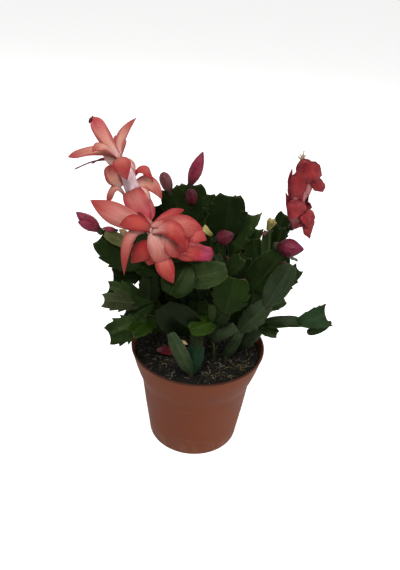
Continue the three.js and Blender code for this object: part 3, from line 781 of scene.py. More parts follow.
# Each cutting: its root [x, y], then runs, each a start and its joints
# A joint: tip's x, y and z, width, azimuth and lift of its face where unusual, green, form where unusual
cuttings = {
    "stem_front": [
        [12, -16],
        [[12, -16, 86], [10, -19, 104, 7, 0, "old"], [10, -26, 124, 9, "old"]],
        [[10, -26, 123], [18, -32, 139, 14, "dark"], [22, -33, 167, 26, "toothed"]],
        [[10, -26, 124], [-7, -37, 123, 15, -90, 50, "young", "smooth"]],
        [[12, -23, 108], [26, -31, 125, 9, "grey"]],
        [[10, -26, 124], [8, -30, 142, 7, "mid"]],
    ],
    "stem_front_left": [
        [-4, -36],
        [[-4, -36, 84], [-20, -43, 125, 11, "grey", "smooth"]],
        [[-4, -35, 86], [0, -29, 105, 13, "teal", "stalk"], [-3, -26, 116, 9, "old"]],
        # This broad leaf takes the near-black green: painted shade on a leaf in deep shade
        [[-3, -26, 115], [-27, -36, 142, 28, -90, 0, "shadow", "smooth"]],
        [[-3, -26, 114], [-1, -18, 138, 17, "dark"], [-5, -26, 160, 17, "dark"]],
        [[-5, -26, 159], [-10, -34, 163, 9, "mid"], [16, -44, 178, 18, "light", "smooth"]],
        [[-5, -26, 159], [-11, -33, 173, 9, "mid"], [-21, -46, 157, 23, -90, 50, "dark", "smooth"]],
    ],
    "stem_front_right": [
        [22, -14],
        [[22, -14, 86], [31, -17, 113, 10, -60, "grey", "stalk"], [47, -26, 143, 16, "grey"],
         [59, -30, 178, 17, "grey", "smooth"]],
        [[50, -22, 148], [67.9, -12, 165.4, 13, -70, "dark", "horned"]],
        [[45, -24, 137], [61, -15, 140, 10, -70, 50, "mid"]],
    ],
    "stem_right_low": [
        [30, -4],
        [[30, -4, 86], [34, -3, 101, 7, 0, "old"], [53, -4, 111, 10, -90, 80, "dark", "stalk"],
         [77, -4, 114, 13, -90, 80, "mid", "stalk"]],
        [[76, -4, 114], [96, -8, 125, 17, "bluish", "fan"]],
        [[97, -9, 118], [83, -7, 106.5, 8, "mid", "smooth"]],
        [[30, -5, 88], [44, -14, 112, 13, "grey", "stalk"]],
        [[45, -5, 108], [60, -12, 107, 10, -90, 50, "mid"]],
    ],
    "stem_right": [
        [32, 10],
        [[32, 10, 86], [38, 5, 110, 8, 0, "old"], [39, 1, 139, 19, "dark"],
         [55.5, -12, 177, 26, "mid", "smooth"]],
        [[38, 5, 109], [43, 12, 131, 10, "dark"], [48, 12, 156, 14, "mid"], [46, 12, 182, 11, "light"]],
        [[49, 12, 154], [55, 12, 186, 12, "dark"]],
        # Fillers inside the plant in dark and near-black greens: sheets that paint the shade between the
        # stems
        [[33, 9, 92], [29, 5, 124, 16, "dark"]],
        [[38, 7, 130], [38, 10, 153, 14, "shadow"], [36, 14, 174, 15, "dark"]],
    ],
    "stem_centre_right": [
        [10, 10],
        [[10, 10, 86], [16, 10, 108, 8, 0, "old"], [20, 10, 134, 20, "dark"], [16, 11, 158, 18, "dark"]],
        [[16, 11, 157], [14, 10, 176, 13, "dark"], [16, 14, 207, 27, "dark"]],
        [[17, 11, 158], [32, 20, 192, 18, "mid", "horned"]],
        [[20, 12, 146], [38, 20, 181, 17, "mid", "horned"]],
        [[20, 10, 133], [31, 5, 164, 17, "dark"]],
        [[16, 11, 157], [4, 17, 188, 13, "dark"]],
        [[19, 9, 132], [14, -3, 151, 12, "dark"], [13, -5, 176, 10, "dark"]],
        [[14, -4, 150], [27, -15, 173, 12, "mid"]],
        [[13, -5, 162], [7, -8, 183, 10, "mid"]],
        [[14, -4, 150], [10, -17, 164, 12, "dark"], [7, -26, 179, 11, "mid"]],
    ],
    "stem_centre_left": [
        [-8, 10],
        [[-8, 10, 86], [-8, 8, 110, 8, 0, "old"], [-10, 8, 138, 16, "dark"], [-12, 9, 164, 18, "dark"]],
        [[-12, 9, 163], [-11, 10, 186, 14, "dark"], [-12, 14, 213, 25, "dark"]],
        [[-14, 8, 178], [-27, 9, 211, 21, "dark"]],
        [[-9, 9, 178], [-5, 19, 205, 13, -70, "dark"]],
        [[-10, 8, 136], [-24, 2, 162, 17, "dark"]],
        # Fillers in the middle in dark and near-black greens: sheets that paint the shade between the stems
        [[-9, 8, 134], [3, 1, 162, 16, "dark"]],
        [[-8, 8, 108], [8, 3, 138, 17, "shadow"]],
        [[-9, 8, 110], [-24, 0, 138, 17, "shadow"]],
    ],
    "stem_left_low": [
        [-24, 4],
        [[-24, 4, 86], [-26, -9, 106, 7, 0, "old"], [-41, -27, 122, 13, "mid"]],
        [[-40, -27, 121], [-65, -36, 113, 20, "mid", "horned"]],
        [[-33, -18, 117], [-48, -42, 120.5, 14, -90, 45, "young"]],
    ],
    "stem_left": [
        [-34, 12],
        [[-34, 12, 86], [-32, 0, 108, 8, 0, "old"], [-38, -12, 130, 14, "mid"],
         [-69, -13, 139, 16, "mid", "horned"]],
        [[-44, -13, 128], [-71, -22, 134, 14, "olive", "horned"]],
        [[-37, -12, 126], [-54, -15, 114, 13, "mid", "horned"]],
        [[-37, -11, 128], [-38, -14, 152, 16, "dark"]],
    ],
    "stem_left_high": [
        [-18, 20],
        [[-18, 20, 86], [-24, 14, 110, 8, 0, "old"], [-31, 5, 134, 16, "dark"], [-34, 0, 150, 14, "dark"]],
        [[-33, 1, 148], [-48, 1, 143.5, 21, "dark"], [-67, 0, 141.5, 18, "dark", "horned"]],
        [[-34, 0, 148], [-48, -6, 155, 13, "mid"], [-74, -10, 179, 24, "mid"]],
        [[-53, -9, 174], [-69.3, -16, 185, 9, "yellow", "smooth"]],
        [[-33, 1, 148], [-35, 9, 174, 12, "dark"], [-37, 12, 196, 14, "dark"]],
        [[-33, 0, 148], [-43, -6, 186, 20, "dark"]],
    ],
    "stem_back_right": [
        [24, 26],
        [[24, 26, 86], [32, 30, 110, 8, 45, "old"], [46, 36, 134, 16, 45, "mid"],
         [62, 44, 150, 18, 45, "mid"]],
        [[61, 43, 149], [74, 51.5, 138.5, 17, 45, 60, "light"]],
        [[32, 31, 109], [34, 44, 134, 15, 90, "mid"], [36, 58, 156, 18, 90, "mid"],
         [44, 73, 167, 18, 90, 50, "young"]],
        [[46, 36, 133], [52, 32, 160, 16, 45, "dark"], [60, 34, 186, 17, 45, "mid"]],
        [[34, 45, 133], [52, 62, 132, 16, 45, 60, "mid"]],
    ],
    "stem_back": [
        [2, 32],
        [[2, 32, 86], [2, 37, 112, 8, 90, "old"], [1, 40, 138, 16, 90, "dark"],
         [-2, 44, 166, 18, 90, "mid"], [0, 50, 192, 20, 90, "mid"]],
        [[1, 40, 137], [8, 58, 152, 17, 90, "mid"], [12, 76, 148, 18, 90, 60, "light"]],
        [[2, 37, 111], [-6, 56, 124, 15, 90, "mid"], [-10, 76, 119, 17, 90, 60, "mid"]],
        [[-2, 44, 165], [-16, 60, 178, 17, 120, "young"]],
    ],
    "stem_back_left": [
        [-24, 32],
        [[-24, 32, 86], [-32, 35, 110, 8, 135, "old"], [-44, 40, 132, 16, 135, "dark"],
         [-61, 46, 146, 18, 135, "mid"]],
        [[-60, 46, 145], [-78, 50, 138, 17, 135, 60, "mid"]],
        [[-32, 36, 109], [-34, 52, 128, 15, 90, "mid"], [-40, 70, 133, 18, 120, 60, "light"]],
        [[-44, 40, 131], [-46, 37, 160, 17, 135, "dark"], [-52, 39, 187, 18, 135, "mid"]],
        [[-34, 52, 127], [-26, 62, 152, 16, 90, "mid"]],
    ],
}


def facingOf(row):
    # The azimuth and lift that a row gives, and the usual ones for what it leaves out
    given = [part for part in row if isinstance(part, (int, float))]
    return [*given, *usualFacing[len(given):]]


def drawRuffle(shape, width, draw):
    # A wave along both margins, lower on narrow pieces
    phase = draw.uniform(0, 6.28)  # anywhere in a full turn
    waves = draw.uniform(*shape["waves"]) * 2 * math.pi
    height = shape["ruffle"] * mm * min(1.0, width / shape["ruffledFrom"])
    return lambda x, y: height * np.sin(waves * y + phase + shape["slant"] * x) * x ** 2


def formFor(width):
    if width >= segmentShape["manyTeethFrom"]:
        return "broad"
    return "small" if width >= segmentShape["toothedFrom"] else "stalk"


def buildSegment(name, start, joint, shape, draw):
    x, y, z, width, *rest = joint
    green, *form = [part for part in rest if isinstance(part, str)]
    facing = facingWay(*facingOf(rest))
    tip = Vector((x, y, z)) * mm
    foot = Vector(start[:3]) * mm
    along = (tip - foot).normalized()
    length = (tip - foot).length
    foot -= along * shape["sunkFoot"] * mm
    face = (facing - along * facing.dot(along)).normalized()
    through = (foot + tip) / 2 + face * shape["bow"] * length
    ruffle = drawRuffle(shape, width, draw)
    piece = copyOf(segmentMasters[form[0] if form else formFor(width)], name)
    setSpots(piece, layAlong(
        spotsOf(piece), bladeLine(foot, through, tip, facing), width / 2 * mm, shape["ribThickness"] * mm,
        shape["cup"], draw.uniform(-1, 1) * shape["twist"], ruffle,
    ))
    lightness = draw.uniform(*shape["lightness"])
    return paint(piece, "tint", [lightness * part for part in greens[green]])


# The rooted foot of a cutting: a short woody peg out of the soil
stumpShape = {
    "heights": [76, 83, 90],
    "radii": [[0, 0], [0.02, 2.0], [0.5, 2.4], [0.92, 2.0], [1, 0]],
    "stops": [[0.4, (0.03, 0.024, 0.015)], [0.9, greens["old"]]],
    "around": 12,
    "along": 10,
}


def buildStump(name, root, shape):
    points = [[*root, height] for height in shape["heights"]]
    return rolledPiece(
        name, points, shape["radii"], shape["stops"], leafMaterial, shape["around"], shape["along"])


def buildStem(name, cutting):
    root, *runs = cutting
    draw = random.Random(name)
    pieces = [buildStump(name + "_stump", root, stumpShape)]
    for start, *joints in runs:
        for joint in joints:
            pieces.append(buildSegment(name + "_segment", start, joint, segmentShape, draw))
            start = joint
    return place(joinUp(pieces, name + "_leaves"), "leaf", name)


for name, cutting in cuttings.items():
    buildStem(name, cutting)
print("stems ready")

# Petals: one thin sheet, slim at its foot, pointed at its tip, laid along an arc of its own
petalShape = {
    "columns": 10,
    "rows": 18,
    "widest": 0.96,
    "thickness": 0.55,
    "cup": -0.1,
    "crease": -0.1,
    "twist": 9,
    "ruffle": 0.8,
    "ruffledFrom": 10,
    "waves": (1.2, 2.2),
    "slant": 1.5,
    "calmFoot": 1 / 3,
    "crumpledFrom": 9,
    "crumples": ((160, 1.0), (420, 0.4)),
    "crumpleSeed": 4,
    "forms": {
        "pointed": {"foot": 0.34, "peak": 0.56, "taper": 1.9},
        "blunt": {"foot": 0.42, "peak": 0.62, "taper": 4.5},
        "strap": {"foot": 0.8, "peak": 0.35, "taper": 3.6},
    },
}


def buildPetalMaster(name, form, shape):
    sheet = gridSheet("master_petal_" + name, shape["columns"], shape["rows"])
    spots = spotsOf(sheet)
    u = (spots[:, 1] + 1) / 2
    rising = form["foot"] + (1 - form["foot"]) * np.sin(math.pi / 2 * np.minimum(u / form["peak"], 1))
    falling = 1 - np.clip((u - form["peak"]) / (1 - form["peak"]), 0, 1) ** form["taper"]
    setSpots(sheet, np.stack([spots[:, 0] * rising * falling * shape["widest"], u, 0 * u], axis=1))
    return closeSeams(thicken(sheet))


petalMasters = {
    name: buildPetalMaster(name, form, petalShape) for name, form in petalShape["forms"].items()
}


def crumpled(spots, height, shape):
    noise.seed_set(shape["crumpleSeed"])  # noise_vector would start from the clock without a seed
    return [spot + sum(np.array(noise.noise_vector(Vector(spot) * scale)) * part
                       for scale, part in shape["crumples"]) * height for spot in spots]


def buildPetal(name, petal, shape, material, draw, crumple=0.0):
    foot, through, tip, width, *rest = petal
    foot, through, tip = (Vector(spot) * mm for spot in (foot, through, tip))
    shades = next(part for part in rest if isinstance(part, tuple))
    form = next((part for part in rest if isinstance(part, str)), "pointed")
    ruffle = drawRuffle(shape, width, draw)
    piece = dress(copyOf(petalMasters[form], name), material)
    share = spotsOf(piece)[:, 1:2]
    spots = layAlong(
        spotsOf(piece), bladeLine(foot, through, tip, facingWay(*facingOf(rest))),
        width / 2 * mm, shape["thickness"] * mm, shape["cup"], draw.uniform(-1, 1) * shape["twist"],
        lambda x, y: ruffle(x, y) * np.clip(y / shape["calmFoot"], 0, 1), shape["crease"],
    )
    if crumple:
        spots = crumpled(spots, crumple * min(1.0, width / shape["crumpledFrom"]) * mm, shape)
    if isinstance(shades[0], tuple):
        shades = np.array(shades[0]) * (1 - share) + np.array(shades[1]) * share
    setSpots(piece, spots)
    return paint(piece, "tint", shades)


# Each petal: foot, a place halfway, tip, width, azimuth and lift of its face where unusual,
# blush, magenta and paleness, or a set for its foot and one for its tip, and its form where unusual
bloomPetals = {
    "bloom_upper": [
        [[-58.5, -14, 238.3], [-67.1, -15, 251.2], [-73.9, -15, 264.3],
         10, ((0.05, 0, 0.15), (0.1, 0.4, 0)), "blunt"],
        [[-57.9, -12, 238.3], [-57.9, -9, 249.9], [-48.5, -4, 262.3], 6.5, -60, (0.2, 0.05, 0.15)],
        [[-59, -15, 239.3], [-72.3, -19, 244.3], [-89.1, -24, 240.3],
         7, -90, 50, ((0.1, 0, 0.2), (0.35, 0.1, 0)), "blunt"],
        [[-58.9, -16, 238.3], [-66.4, -23, 248.6], [-72.8, -29, 246.3], 8, -90, 60, (0.3, 0, 0.2)],
        [[-58.4, -15, 235.3], [-62.6, -17, 238.4], [-67.9, -19, 240.7], 8, (0, 0, 1)],
        [[-58.1, -17, 239.4], [-55.6, -25, 239], [-52.2, -23, 227.2],
         12.6, -90, 40, ((0.8, 0, 0), (1, 0.1, 0))],
        [[-57, -13, 218.9], [-61.8, -17.5, 225.2], [-62.6, -17, 235.1], 10.5, (0.2, 0, 0), "blunt"],
        [[-48, -10.5, 228], [-42, -9, 229.5], [-37, -7, 221], 7, -90, 50, (1, 0.1, 0)],
        [[-51, -10, 215], [-40, -6, 220], [-31, -6, 208], 11.5, -90, 45, (0.3, 0.05, 0)],
        [[-55.7, -13, 213.3], [-61.6, -15.5, 218.2], [-66.5, -15, 206.2], 5, (0.35, 0, 0.1), "blunt"],
        [[-50.7, -15.5, 217.5], [-45.7, -18.5, 207.8], [-39.7, -17, 194.4],
         16.5, ((1, 0, 0), (0, 0.9, 0)), "strap"],
        [[-45.7, -13, 212.6], [-40.8, -14, 204.7], [-38, -14, 194.6],
         12, ((0.5, 0, 0), (0.3, 0.5, 0)), "strap"],
        [[-44.5, -12, 218], [-41, -13, 213.6], [-41.1, -12, 205.3], 6, (0, 0, 0.5)],
        [[-55.5, -13, 236.8], [-51.5, -14, 234.1], [-49.7, -13, 226.4], 7, (0.05, 0, 0.6)],
        [[-59, -12, 237], [-60, 2, 245], [-62, 15, 243], 9, 90, (0.2, 0, 0)],
        [[-54, -9, 222], [-52, 3, 225], [-52, 10, 216], 10, 90, (0.4, 0, 0)],
        [[-48, -9, 212], [-44, 6, 218], [-42, 11, 207], 10, 90, (0.5, 0, 0)],
    ],
    "bloom_lower": [
        [[-35, -38, 201], [-54, -41, 210], [-72.6, -42, 220], 15, ((0, 0, 1), (0.2, 0, 0.3))],
        [[-34, -39, 200], [-43, -45, 208], [-54, -46, 206], 11, ((0.8, 0, 0), (0.4, 0, 0.1))],
        [[-33, -38, 203.5], [-16.5, -43, 206.5], [-1.7, -45, 206.5], 16, ((0, 0, 0.55), (0.2, 0.15, 0))],
        [[-33, -36, 204], [-24, -34, 209], [-14.6, -32, 213.5], 8, (0.4, 0.25, 0)],
        [[-15, -41, 199], [-7, -47, 203], [1, -49, 201], 10, (0.15, 0.3, 0.2)],
        [[-33.7, -44, 201.8], [-20.8, -50, 207.7], [-12.8, -50, 193.7], 11.5, ((0, 0, 0.4), (0.9, 0, 0))],
        [[-39, -39.5, 199.5], [-48.5, -46, 196], [-51.6, -44, 169], 7.6, ((0, 0, 1), (0.6, 0, 0.3))],
        [[-34.1, -39, 192.2], [-39.5, -42, 186.8], [-47.3, -40, 176.3], 14, -90, 0, ((1, 0, 0), (0.9, 0, 0))],
        [[-33.8, -43, 200.6], [-29.7, -48.5, 194.5], [-24.7, -47, 181.8],
         14, ((0, 0, 1), (0.15, 0, 0.5)), "blunt"],
        [[-27, -40, 190], [-25, -48.5, 181], [-18.6, -48, 167.6], 12.5, ((0, 0, 0.5), (0.6, 0, 0))],
        [[-30, -38, 190], [-34, -40, 182], [-36, -40, 175.5], 10, -90, -5, (0.95, 0, 0)],
        [[-3.1, -36, 181.1], [-11.5, -42, 184.1], [-22.6, -44, 189.1], 5.5, -90, 20, (0.35, 0, 0)],
        [[-5.5, -36, 189.8], [-12, -42, 195.3], [-18.3, -45, 197.8], 8, (0.5, 0.3, 0)],
        [[-6, -36, 185.4], [-11.1, -41, 189.1], [-17, -43, 192.6], 8, (0.6, 0.2, 0)],
        [[-34.6, -42, 205], [-23.5, -47, 208.8], [-11.3, -49, 202.4], 9, (0.1, 0.1, 0.2)],
        [[-31.2, -43, 198.7], [-22.6, -47, 196.7], [-16.5, -46, 185.5],
         11, ((0, 0, 0.9), (0.35, 0, 0.1)), "blunt"],
        [[-22.2, -44, 199.1], [-13.7, -49, 199.4], [-15.3, -48, 189.6], 8, ((0.6, 0, 0), (1, 0, 0)), "blunt"],
        [[-34, -37, 200], [-40, -24, 204], [-48, -20, 200], 10, 90, 40, (0.3, 0, 0)],
        [[-25, -37, 194], [-24, -24, 192], [-20, -21, 182], 10, 90, (0.5, 0, 0)],
    ],
    "bloom_wilted": [
        [[62, 4, 204.8], [60.8, -1, 222.3], [62, 2, 237.1], 12.5, (0.6, 0, 0)],
        [[64.9, 5, 214.3], [66.5, -1, 231.2], [75.7, 1, 230.3], 14, (0.05, 0, 0), "blunt"],
        [[64.4, 4, 217.6], [63.4, 1, 231.6], [68.1, 3, 237.5], 11, (0.65, 0, 0), "blunt"],
        [[66.1, 2, 227.2], [71.3, 0, 226.9], [78.3, 0, 219.1], 9, (0.4, 0, 0), "blunt"],
        [[58, 3, 205], [55.7, 2, 219.3], [55, 2, 233.8], 3.3, (0.9, 0.6, 0)],
        [[60.2, 3, 191.3], [56.7, 2, 204.6], [53.2, 2, 216.6], 3.3, (0.9, 0.6, 0)],
        [[64.6, 5, 191.5], [62.3, 0, 207.3], [64.3, 1, 220.3], 10, ((1, 0, 0), (0.4, 0, 0.1)), "blunt"],
        [[64.9, 4, 188.9], [62.1, -3, 203.4], [63.1, -1, 213], 13.5, ((1, 0, 0), (0, 0, 0)), "blunt"],
        [[64.1, 3, 198.6], [68.7, -2, 201.9], [73.9, -1, 191.1], 10, ((1, 0, 0), (0.1, 0, 0)), "blunt"],
        [[66.2, 3, 194.1], [70.7, -1, 194], [73.8, 0, 183.2], 8.5, ((1, 0, 0), (0.4, 0, 0))],
        [[64.2, 1, 206.3], [65.9, 0, 215.7], [69.8, 0, 223.9], 6, (0, 0, 1), "blunt"],
        [[59.4, 2, 207], [59.6, 0, 211.6], [61.3, 0, 213.9], 4, (0, 0, 0.6), "blunt"],
        [[66.6, 9, 200.7], [65.9, 13, 214.1], [66.4, 11, 233.2], 11.5, 80, (0.5, 0, 0)],
        [[66.2, 9, 188.2], [67.5, 13, 197.4], [68.7, 11, 207.6], 13, 80, (0.5, 0, 0), "blunt"],
        [[65.7, 8, 211.7], [70.6, 10, 222.3], [75.1, 8, 227], 10, 40, (0.6, 0, 0), "blunt"],
    ],
}
blooms = {
    "bloom_upper": {
        "slot": "petal",
        "material": petalMaterial,
        "crumple": 0,
        "tube": [[-39, -5, 184.9], [-44, -7, 199], [-49.5, -10, 214], [-54, -12, 227], [-60, -14, 239]],
        "radii": [2.5, 3.9, 4.9, 5.3, 4.4],
        "stops": [[0, (0.35, 0.05, 0.09)], [0.2, (0.50, 0.06, 0.05)], [0.42, (0.70, 0.40, 0.42)],
                  [0.6, (0.74, 0.56, 0.60)], [0.8, (0.74, 0.52, 0.54)], [1, (0.6, 0.34, 0.30)]],
    },
    "bloom_lower": {
        "slot": "petal",
        "material": lowerMaterial,
        "crumple": 0,
        "tube": [[5, -29.6, 180.5], [-4, -34, 184], [-15, -38, 189], [-26, -38, 194], [-38, -37, 203]],
        "radii": [4.9, 6.0, 5.6, 4.6, 3.6],
        "stops": [[0, (0.24, 0.014, 0.045)], [0.2, (0.40, 0.045, 0.105)], [0.3, (0.44, 0.030, 0.036)],
                  [0.5, (0.50, 0.09, 0.065)], [0.72, (0.70, 0.38, 0.38)], [1, (0.80, 0.56, 0.56)]],
    },
    "bloom_wilted": {
        "slot": "wilted_petal",
        "material": wiltedMaterial,
        "crumple": 1.7,
        "tube": [[60.6, 11, 184], [65, 9, 192], [64.5, 7, 202], [62.5, 6, 214], [62.5, 6, 225], [62, 6, 236]],
        "radii": [2.4, 4.0, 4.6, 3.6, 4.2, 2.4],
        "stops": [[0, (0.02, 0.020, 0.010)], [0.18, (0.035, 0.014, 0.010)], [0.3, (0.26, 0.02, 0.022)],
                  [1, (0.36, 0.04, 0.04)]],
    },
}
tubeShape = {
    "around": 20,
    "along": 40,
    "rounding": [0.012, 0.75],  # shares of the length and of the first radius
    "firstKnot": 0.04,
    "flutes": (5, 4, 0.05),  # waves around, how far they wind, height
    "rings": (26, 0.03),
}


def buildBloom(name, bloom, petals, shape, draw):
    sheets = [buildPetal(name + "_petal", petal, petalShape, bloom["material"], draw, bloom["crumple"])
              for petal in petals]
    place(joinUp(sheets, name + "_petals"), bloom["slot"], name)
    radii = bloom["radii"]
    near, part = shape["rounding"]
    shares = np.linspace(shape["firstKnot"], 1 - shape["firstKnot"], len(radii))

    def fluted(turn, share):
        count, wind, height = shape["flutes"]
        rings, ringHeight = shape["rings"]
        return 1 + height * np.sin(count * turn + wind * share) + ringHeight * np.sin(rings * share)

    tube = rolledPiece(
        name + "_tube", bloom["tube"], [[0, 0], [near, radii[0] * part], *zip(shares, radii), [1, 0]],
        bloom["stops"], fleshMaterial, shape["around"], shape["along"], fluted,
    )
    place(tube, bloom["slot"], name)


for name, bloom in blooms.items():
    buildBloom(name, bloom, bloomPetals[name], tubeShape, random.Random(name))
print("blooms ready")

# Stamens: a thin magenta style with one thread, and the cream tuft on the wilted bloom
threadShape = {"radii": [[0, 0], [0.02, 1], [0.85, 0.7], [0.95, 0.95], [1, 0]], "around": 8, "along": 12}
threads = {
    "stamens_upper": {
        "slot": "wilted_petal",
        "color": (0.24, 0.03, 0.07),
        "radius": 0.6,
        "sag": 2.0,
        "foot": [-62, -16, 238],
        "ends": [[-88, -17, 229.5], [-76, -17.5, 234.5]],
    },
    "stamens_wilted": {
        "slot": "dried_petal",
        "color": (0.55, 0.48, 0.32),
        "radius": 0.6,
        "sag": 0.3,
        "foot": [62, 6, 236.9],
        "ends": [[62.2, 6, 245], [58.6, 6, 240.6], [61.3, 4, 243.4], [63.8, 7, 241.6], [60.2, 6.5, 242],
                 [62.9, 5, 242]],
    },
}


def scaledRadii(radii, radius):
    return [[share, part * radius] for share, part in radii]


def midway(foot, tip, rise=0.0):
    # A straight path of three points, its middle one raised
    foot, tip = np.array(foot, float), np.array(tip, float)
    return [foot, (foot + tip) / 2 + np.array([0, 0, rise]), tip]


def buildThreads(name, bunch, shape):
    radii = scaledRadii(shape["radii"], bunch["radius"])
    pieces = [
        rolledPiece(name + "_thread", midway(bunch["foot"], end, bunch["sag"]), radii,
                    [[0, bunch["color"]]], fleshMaterial, shape["around"], shape["along"])
        for end in bunch["ends"]
    ]
    return place(joinUp(pieces, name + "_threads"), bunch["slot"], name)


for name, bunch in threads.items():
    buildThreads(name, bunch, threadShape)
print("stamens ready")

# Buds: a core wrapped by tepals that overlap round it, dark at the foot
budLook = {
    "profile": [[0, 0], [0.02, 0.42], [0.10, 0.5], [0.18, 0.42], [0.24, 0.6], [0.36, 0.88], [0.5, 1.0],
                [0.64, 0.92], [0.78, 0.68], [0.9, 0.38], [0.97, 0.15], [1, 0]],
    "roundProfile": [[0, 0], [0.02, 0.42], [0.10, 0.45], [0.2, 0.42], [0.28, 0.62], [0.42, 0.9],
                     [0.58, 1.0], [0.74, 0.95], [0.86, 0.78], [0.94, 0.52], [0.98, 0.28], [1, 0]],
    "foot": 4.5,  # how far it is sunk into the segment's tip
    "wraps": 4,
    "wind": 0.9,
    "overlap": 1.15,
    "step": 0.11,
    "wrapFrom": 0.2,
    "around": 40,
    "along": 34,
}
nubLook = {**budLook, "foot": 2, "around": 16, "along": 14}
budShades = {
    "magenta": [[0, greens["mid"]], [0.16, greens["old"]], [0.24, (0.09, 0.018, 0.022)],
                [0.42, (0.22, 0.026, 0.050)], [0.9, (0.20, 0.021, 0.050)], [1, (0.07, 0.008, 0.02)]],
    "dark": [[0, greens["mid"]], [0.2, greens["dark"]], [0.3, (0.04, 0.007, 0.009)],
             [0.6, (0.098, 0.008, 0.019)], [1, (0.05, 0.004, 0.010)]],
    "dim": [[0, greens["mid"]], [0.16, greens["old"]], [0.24, (0.05, 0.009, 0.011)],
            [0.42, (0.075, 0.008, 0.016)], [0.62, (0.13, 0.012, 0.028)], [0.9, (0.12, 0.009, 0.034)],
            [1, (0.07, 0.006, 0.024)]],
    "brown": [[0, greens["mid"]], [0.4, (0.05, 0.016, 0.012)], [1, (0.03, 0.010, 0.009)]],
    "maroon": [[0, (0.10, 0.012, 0.02)], [1, (0.03, 0.006, 0.012)]],
    "straw": [[0, greens["mid"]], [0.25, (0.12, 0.11, 0.04)], [0.6, (0.34, 0.28, 0.14)],
              [1, (0.22, 0.12, 0.07)]],
    "dusty": [[0, greens["mid"]], [0.2, greens["old"]], [0.3, (0.09, 0.04, 0.035)],
              [0.7, (0.15, 0.055, 0.055)], [1, (0.12, 0.03, 0.035)]],
}
# Each part: foot, tip, width, shades and profile where unusual
buds = {
    "bud_top": [[[-13, 14, 211.7], [-5, 14, 237], 9.4, "magenta"]],
    "bud_top_small": [[[-27, 8, 209.3], [-32, 8, 222.6], 8.6, "dusty", "roundProfile"]],
    "bud_facing": [[[-11, 8.5, 201], [-11.5, -5, 215.5], 8.5, "dark", "roundProfile"]],
    "bud_left": [
        [[-74, -11.3, 185], [-88.3, -14, 198.5], 10, "magenta"],
        [[-76, -12.5, 187], [-86.5, -18.5, 193.5], 7.5, "magenta"],
    ],
    "bud_centre": [[[9.5, -10, 183], [19.5, -17, 191], 10, "dark"]],
    "bud_right": [[[51.5, -13.5, 182], [67.3, -23, 185.8], 12.5, "dim"]],
}
# Small bud nubs and torn scraps at the leaves' tips and margins, and the upper bloom's dark tip
nubs = [
    [[53.6, -27.5, 175.5], [55, -28.5, 179.5], 3.4, "brown"],
    [[43, 10.5, 178.6], [43.8, 9.5, 182.8], 3, "dusty"],
    [[19.4, 14.2, 203.5], [19.8, 13.8, 207], 3, "dusty"],
    [[-61.5, -14, 186.8], [-71, -13.5, 187.6], 4, "magenta"],
    [[-53.5, -15, 184.5], [-58.9, -17, 189], 4.6, "straw"],
    [[17, -15.5, 171], [15.6, -17.5, 174.5], 2.4, "brown"],
    [[-13.3, -39.5, 115.2], [-7.1, -40, 112.9], 3.2, "straw"],
    [[-75.2, -15, 262.9], [-76.9, -15.5, 259.9], 2.4, "maroon"],
]


def buildBud(name, bud, look):
    foot, tip, width, shade, *profile = bud
    foot, tip = np.array(foot, float), np.array(tip, float)
    foot = foot - (tip - foot) / np.linalg.norm(tip - foot) * look["foot"]

    def wrapped(turn, share):
        swirl = (turn / (2 * math.pi) * look["wraps"] + look["wind"] * share) % 1
        ridge = np.clip(swirl * look["overlap"], 0, 1) - 0.5
        risen = np.clip((share - look["wrapFrom"]) / (1 - look["wrapFrom"]), 0, 1)
        return 1 + look["step"] * ridge * np.sin(math.pi * risen) ** 0.5

    return rolledPiece(
        name, midway(foot, tip), scaledRadii(look[profile[0] if profile else "profile"], width / 2),
        budShades[shade], fleshMaterial, look["around"], look["along"], wrapped,
    )


for name, parts in buds.items():
    pieces = [buildBud(name + "_part", part, budLook) for part in parts]
    place(joinUp(pieces, name + "_tepals"), "bud", name)
place(joinUp([buildBud("leaf_nub", nub, nubLook) for nub in nubs], "leaf_nubs"), "bud")
print("buds ready")

# Dried flower remains: a papery, folded cone
driedLook = {
    "shades": [[0, (0.06, 0.07, 0.02)], [0.3, (0.24, 0.24, 0.06)], [1, (0.40, 0.35, 0.13)]],
    "profile": [[0, 0], [0.03, 0.5], [0.35, 0.7], [0.8, 1.0], [0.95, 1.05], [0.98, 0.7], [1, 0]],
    "folds": [[5, 3, 0.34], [11, 0, 0.16]],  # waves around, how far they wind, height at the mouth
    "around": 30,
    "along": 16,
}
driedFlowers = {
    "dried_flower_left": [[5.2, -8.2, 184.4], [-2.2, -9.5, 190.3], 5.2],
    "dried_flower_right": [[45.5, 12, 181.5], [47.5, 11, 191], 5.6],
}


def buildDried(name, foot, tip, width, look):
    def folded(turn, share):
        return 1 + sum(height * np.sin(count * turn + wind * share) * share
                       for count, wind, height in look["folds"])

    cone = rolledPiece(
        name + "_paper", midway(foot, tip), scaledRadii(look["profile"], width / 2),
        look["shades"], fleshMaterial, look["around"], look["along"], folded,
    )
    return place(cone, "dried_petal", name)


for name, (foot, tip, width) in driedFlowers.items():
    buildDried(name, foot, tip, width, driedLook)
print("dried flowers ready")

# Fallen petal on the soil
fallenPetal = {
    "row": [[-32, -8, 82.4], [-23, -10.5, 85.6], [-13.5, -12, 82.6], 12, -90, 80, (0.3, 0.5, 0)],
    "crumple": 0.6,
    "seed": 4,
}
fallen = buildPetal("fallen_petal_sheet", fallenPetal["row"], petalShape, fallenMaterial,
                    random.Random(fallenPetal["seed"]), fallenPetal["crumple"])
place(fallen, "wilted_petal", "fallen_petal")
print("fallen petal ready")

# The masters have all their copies now
for master in [*segmentMasters.values(), *petalMasters.values()]:
    bpy.data.objects.remove(master)

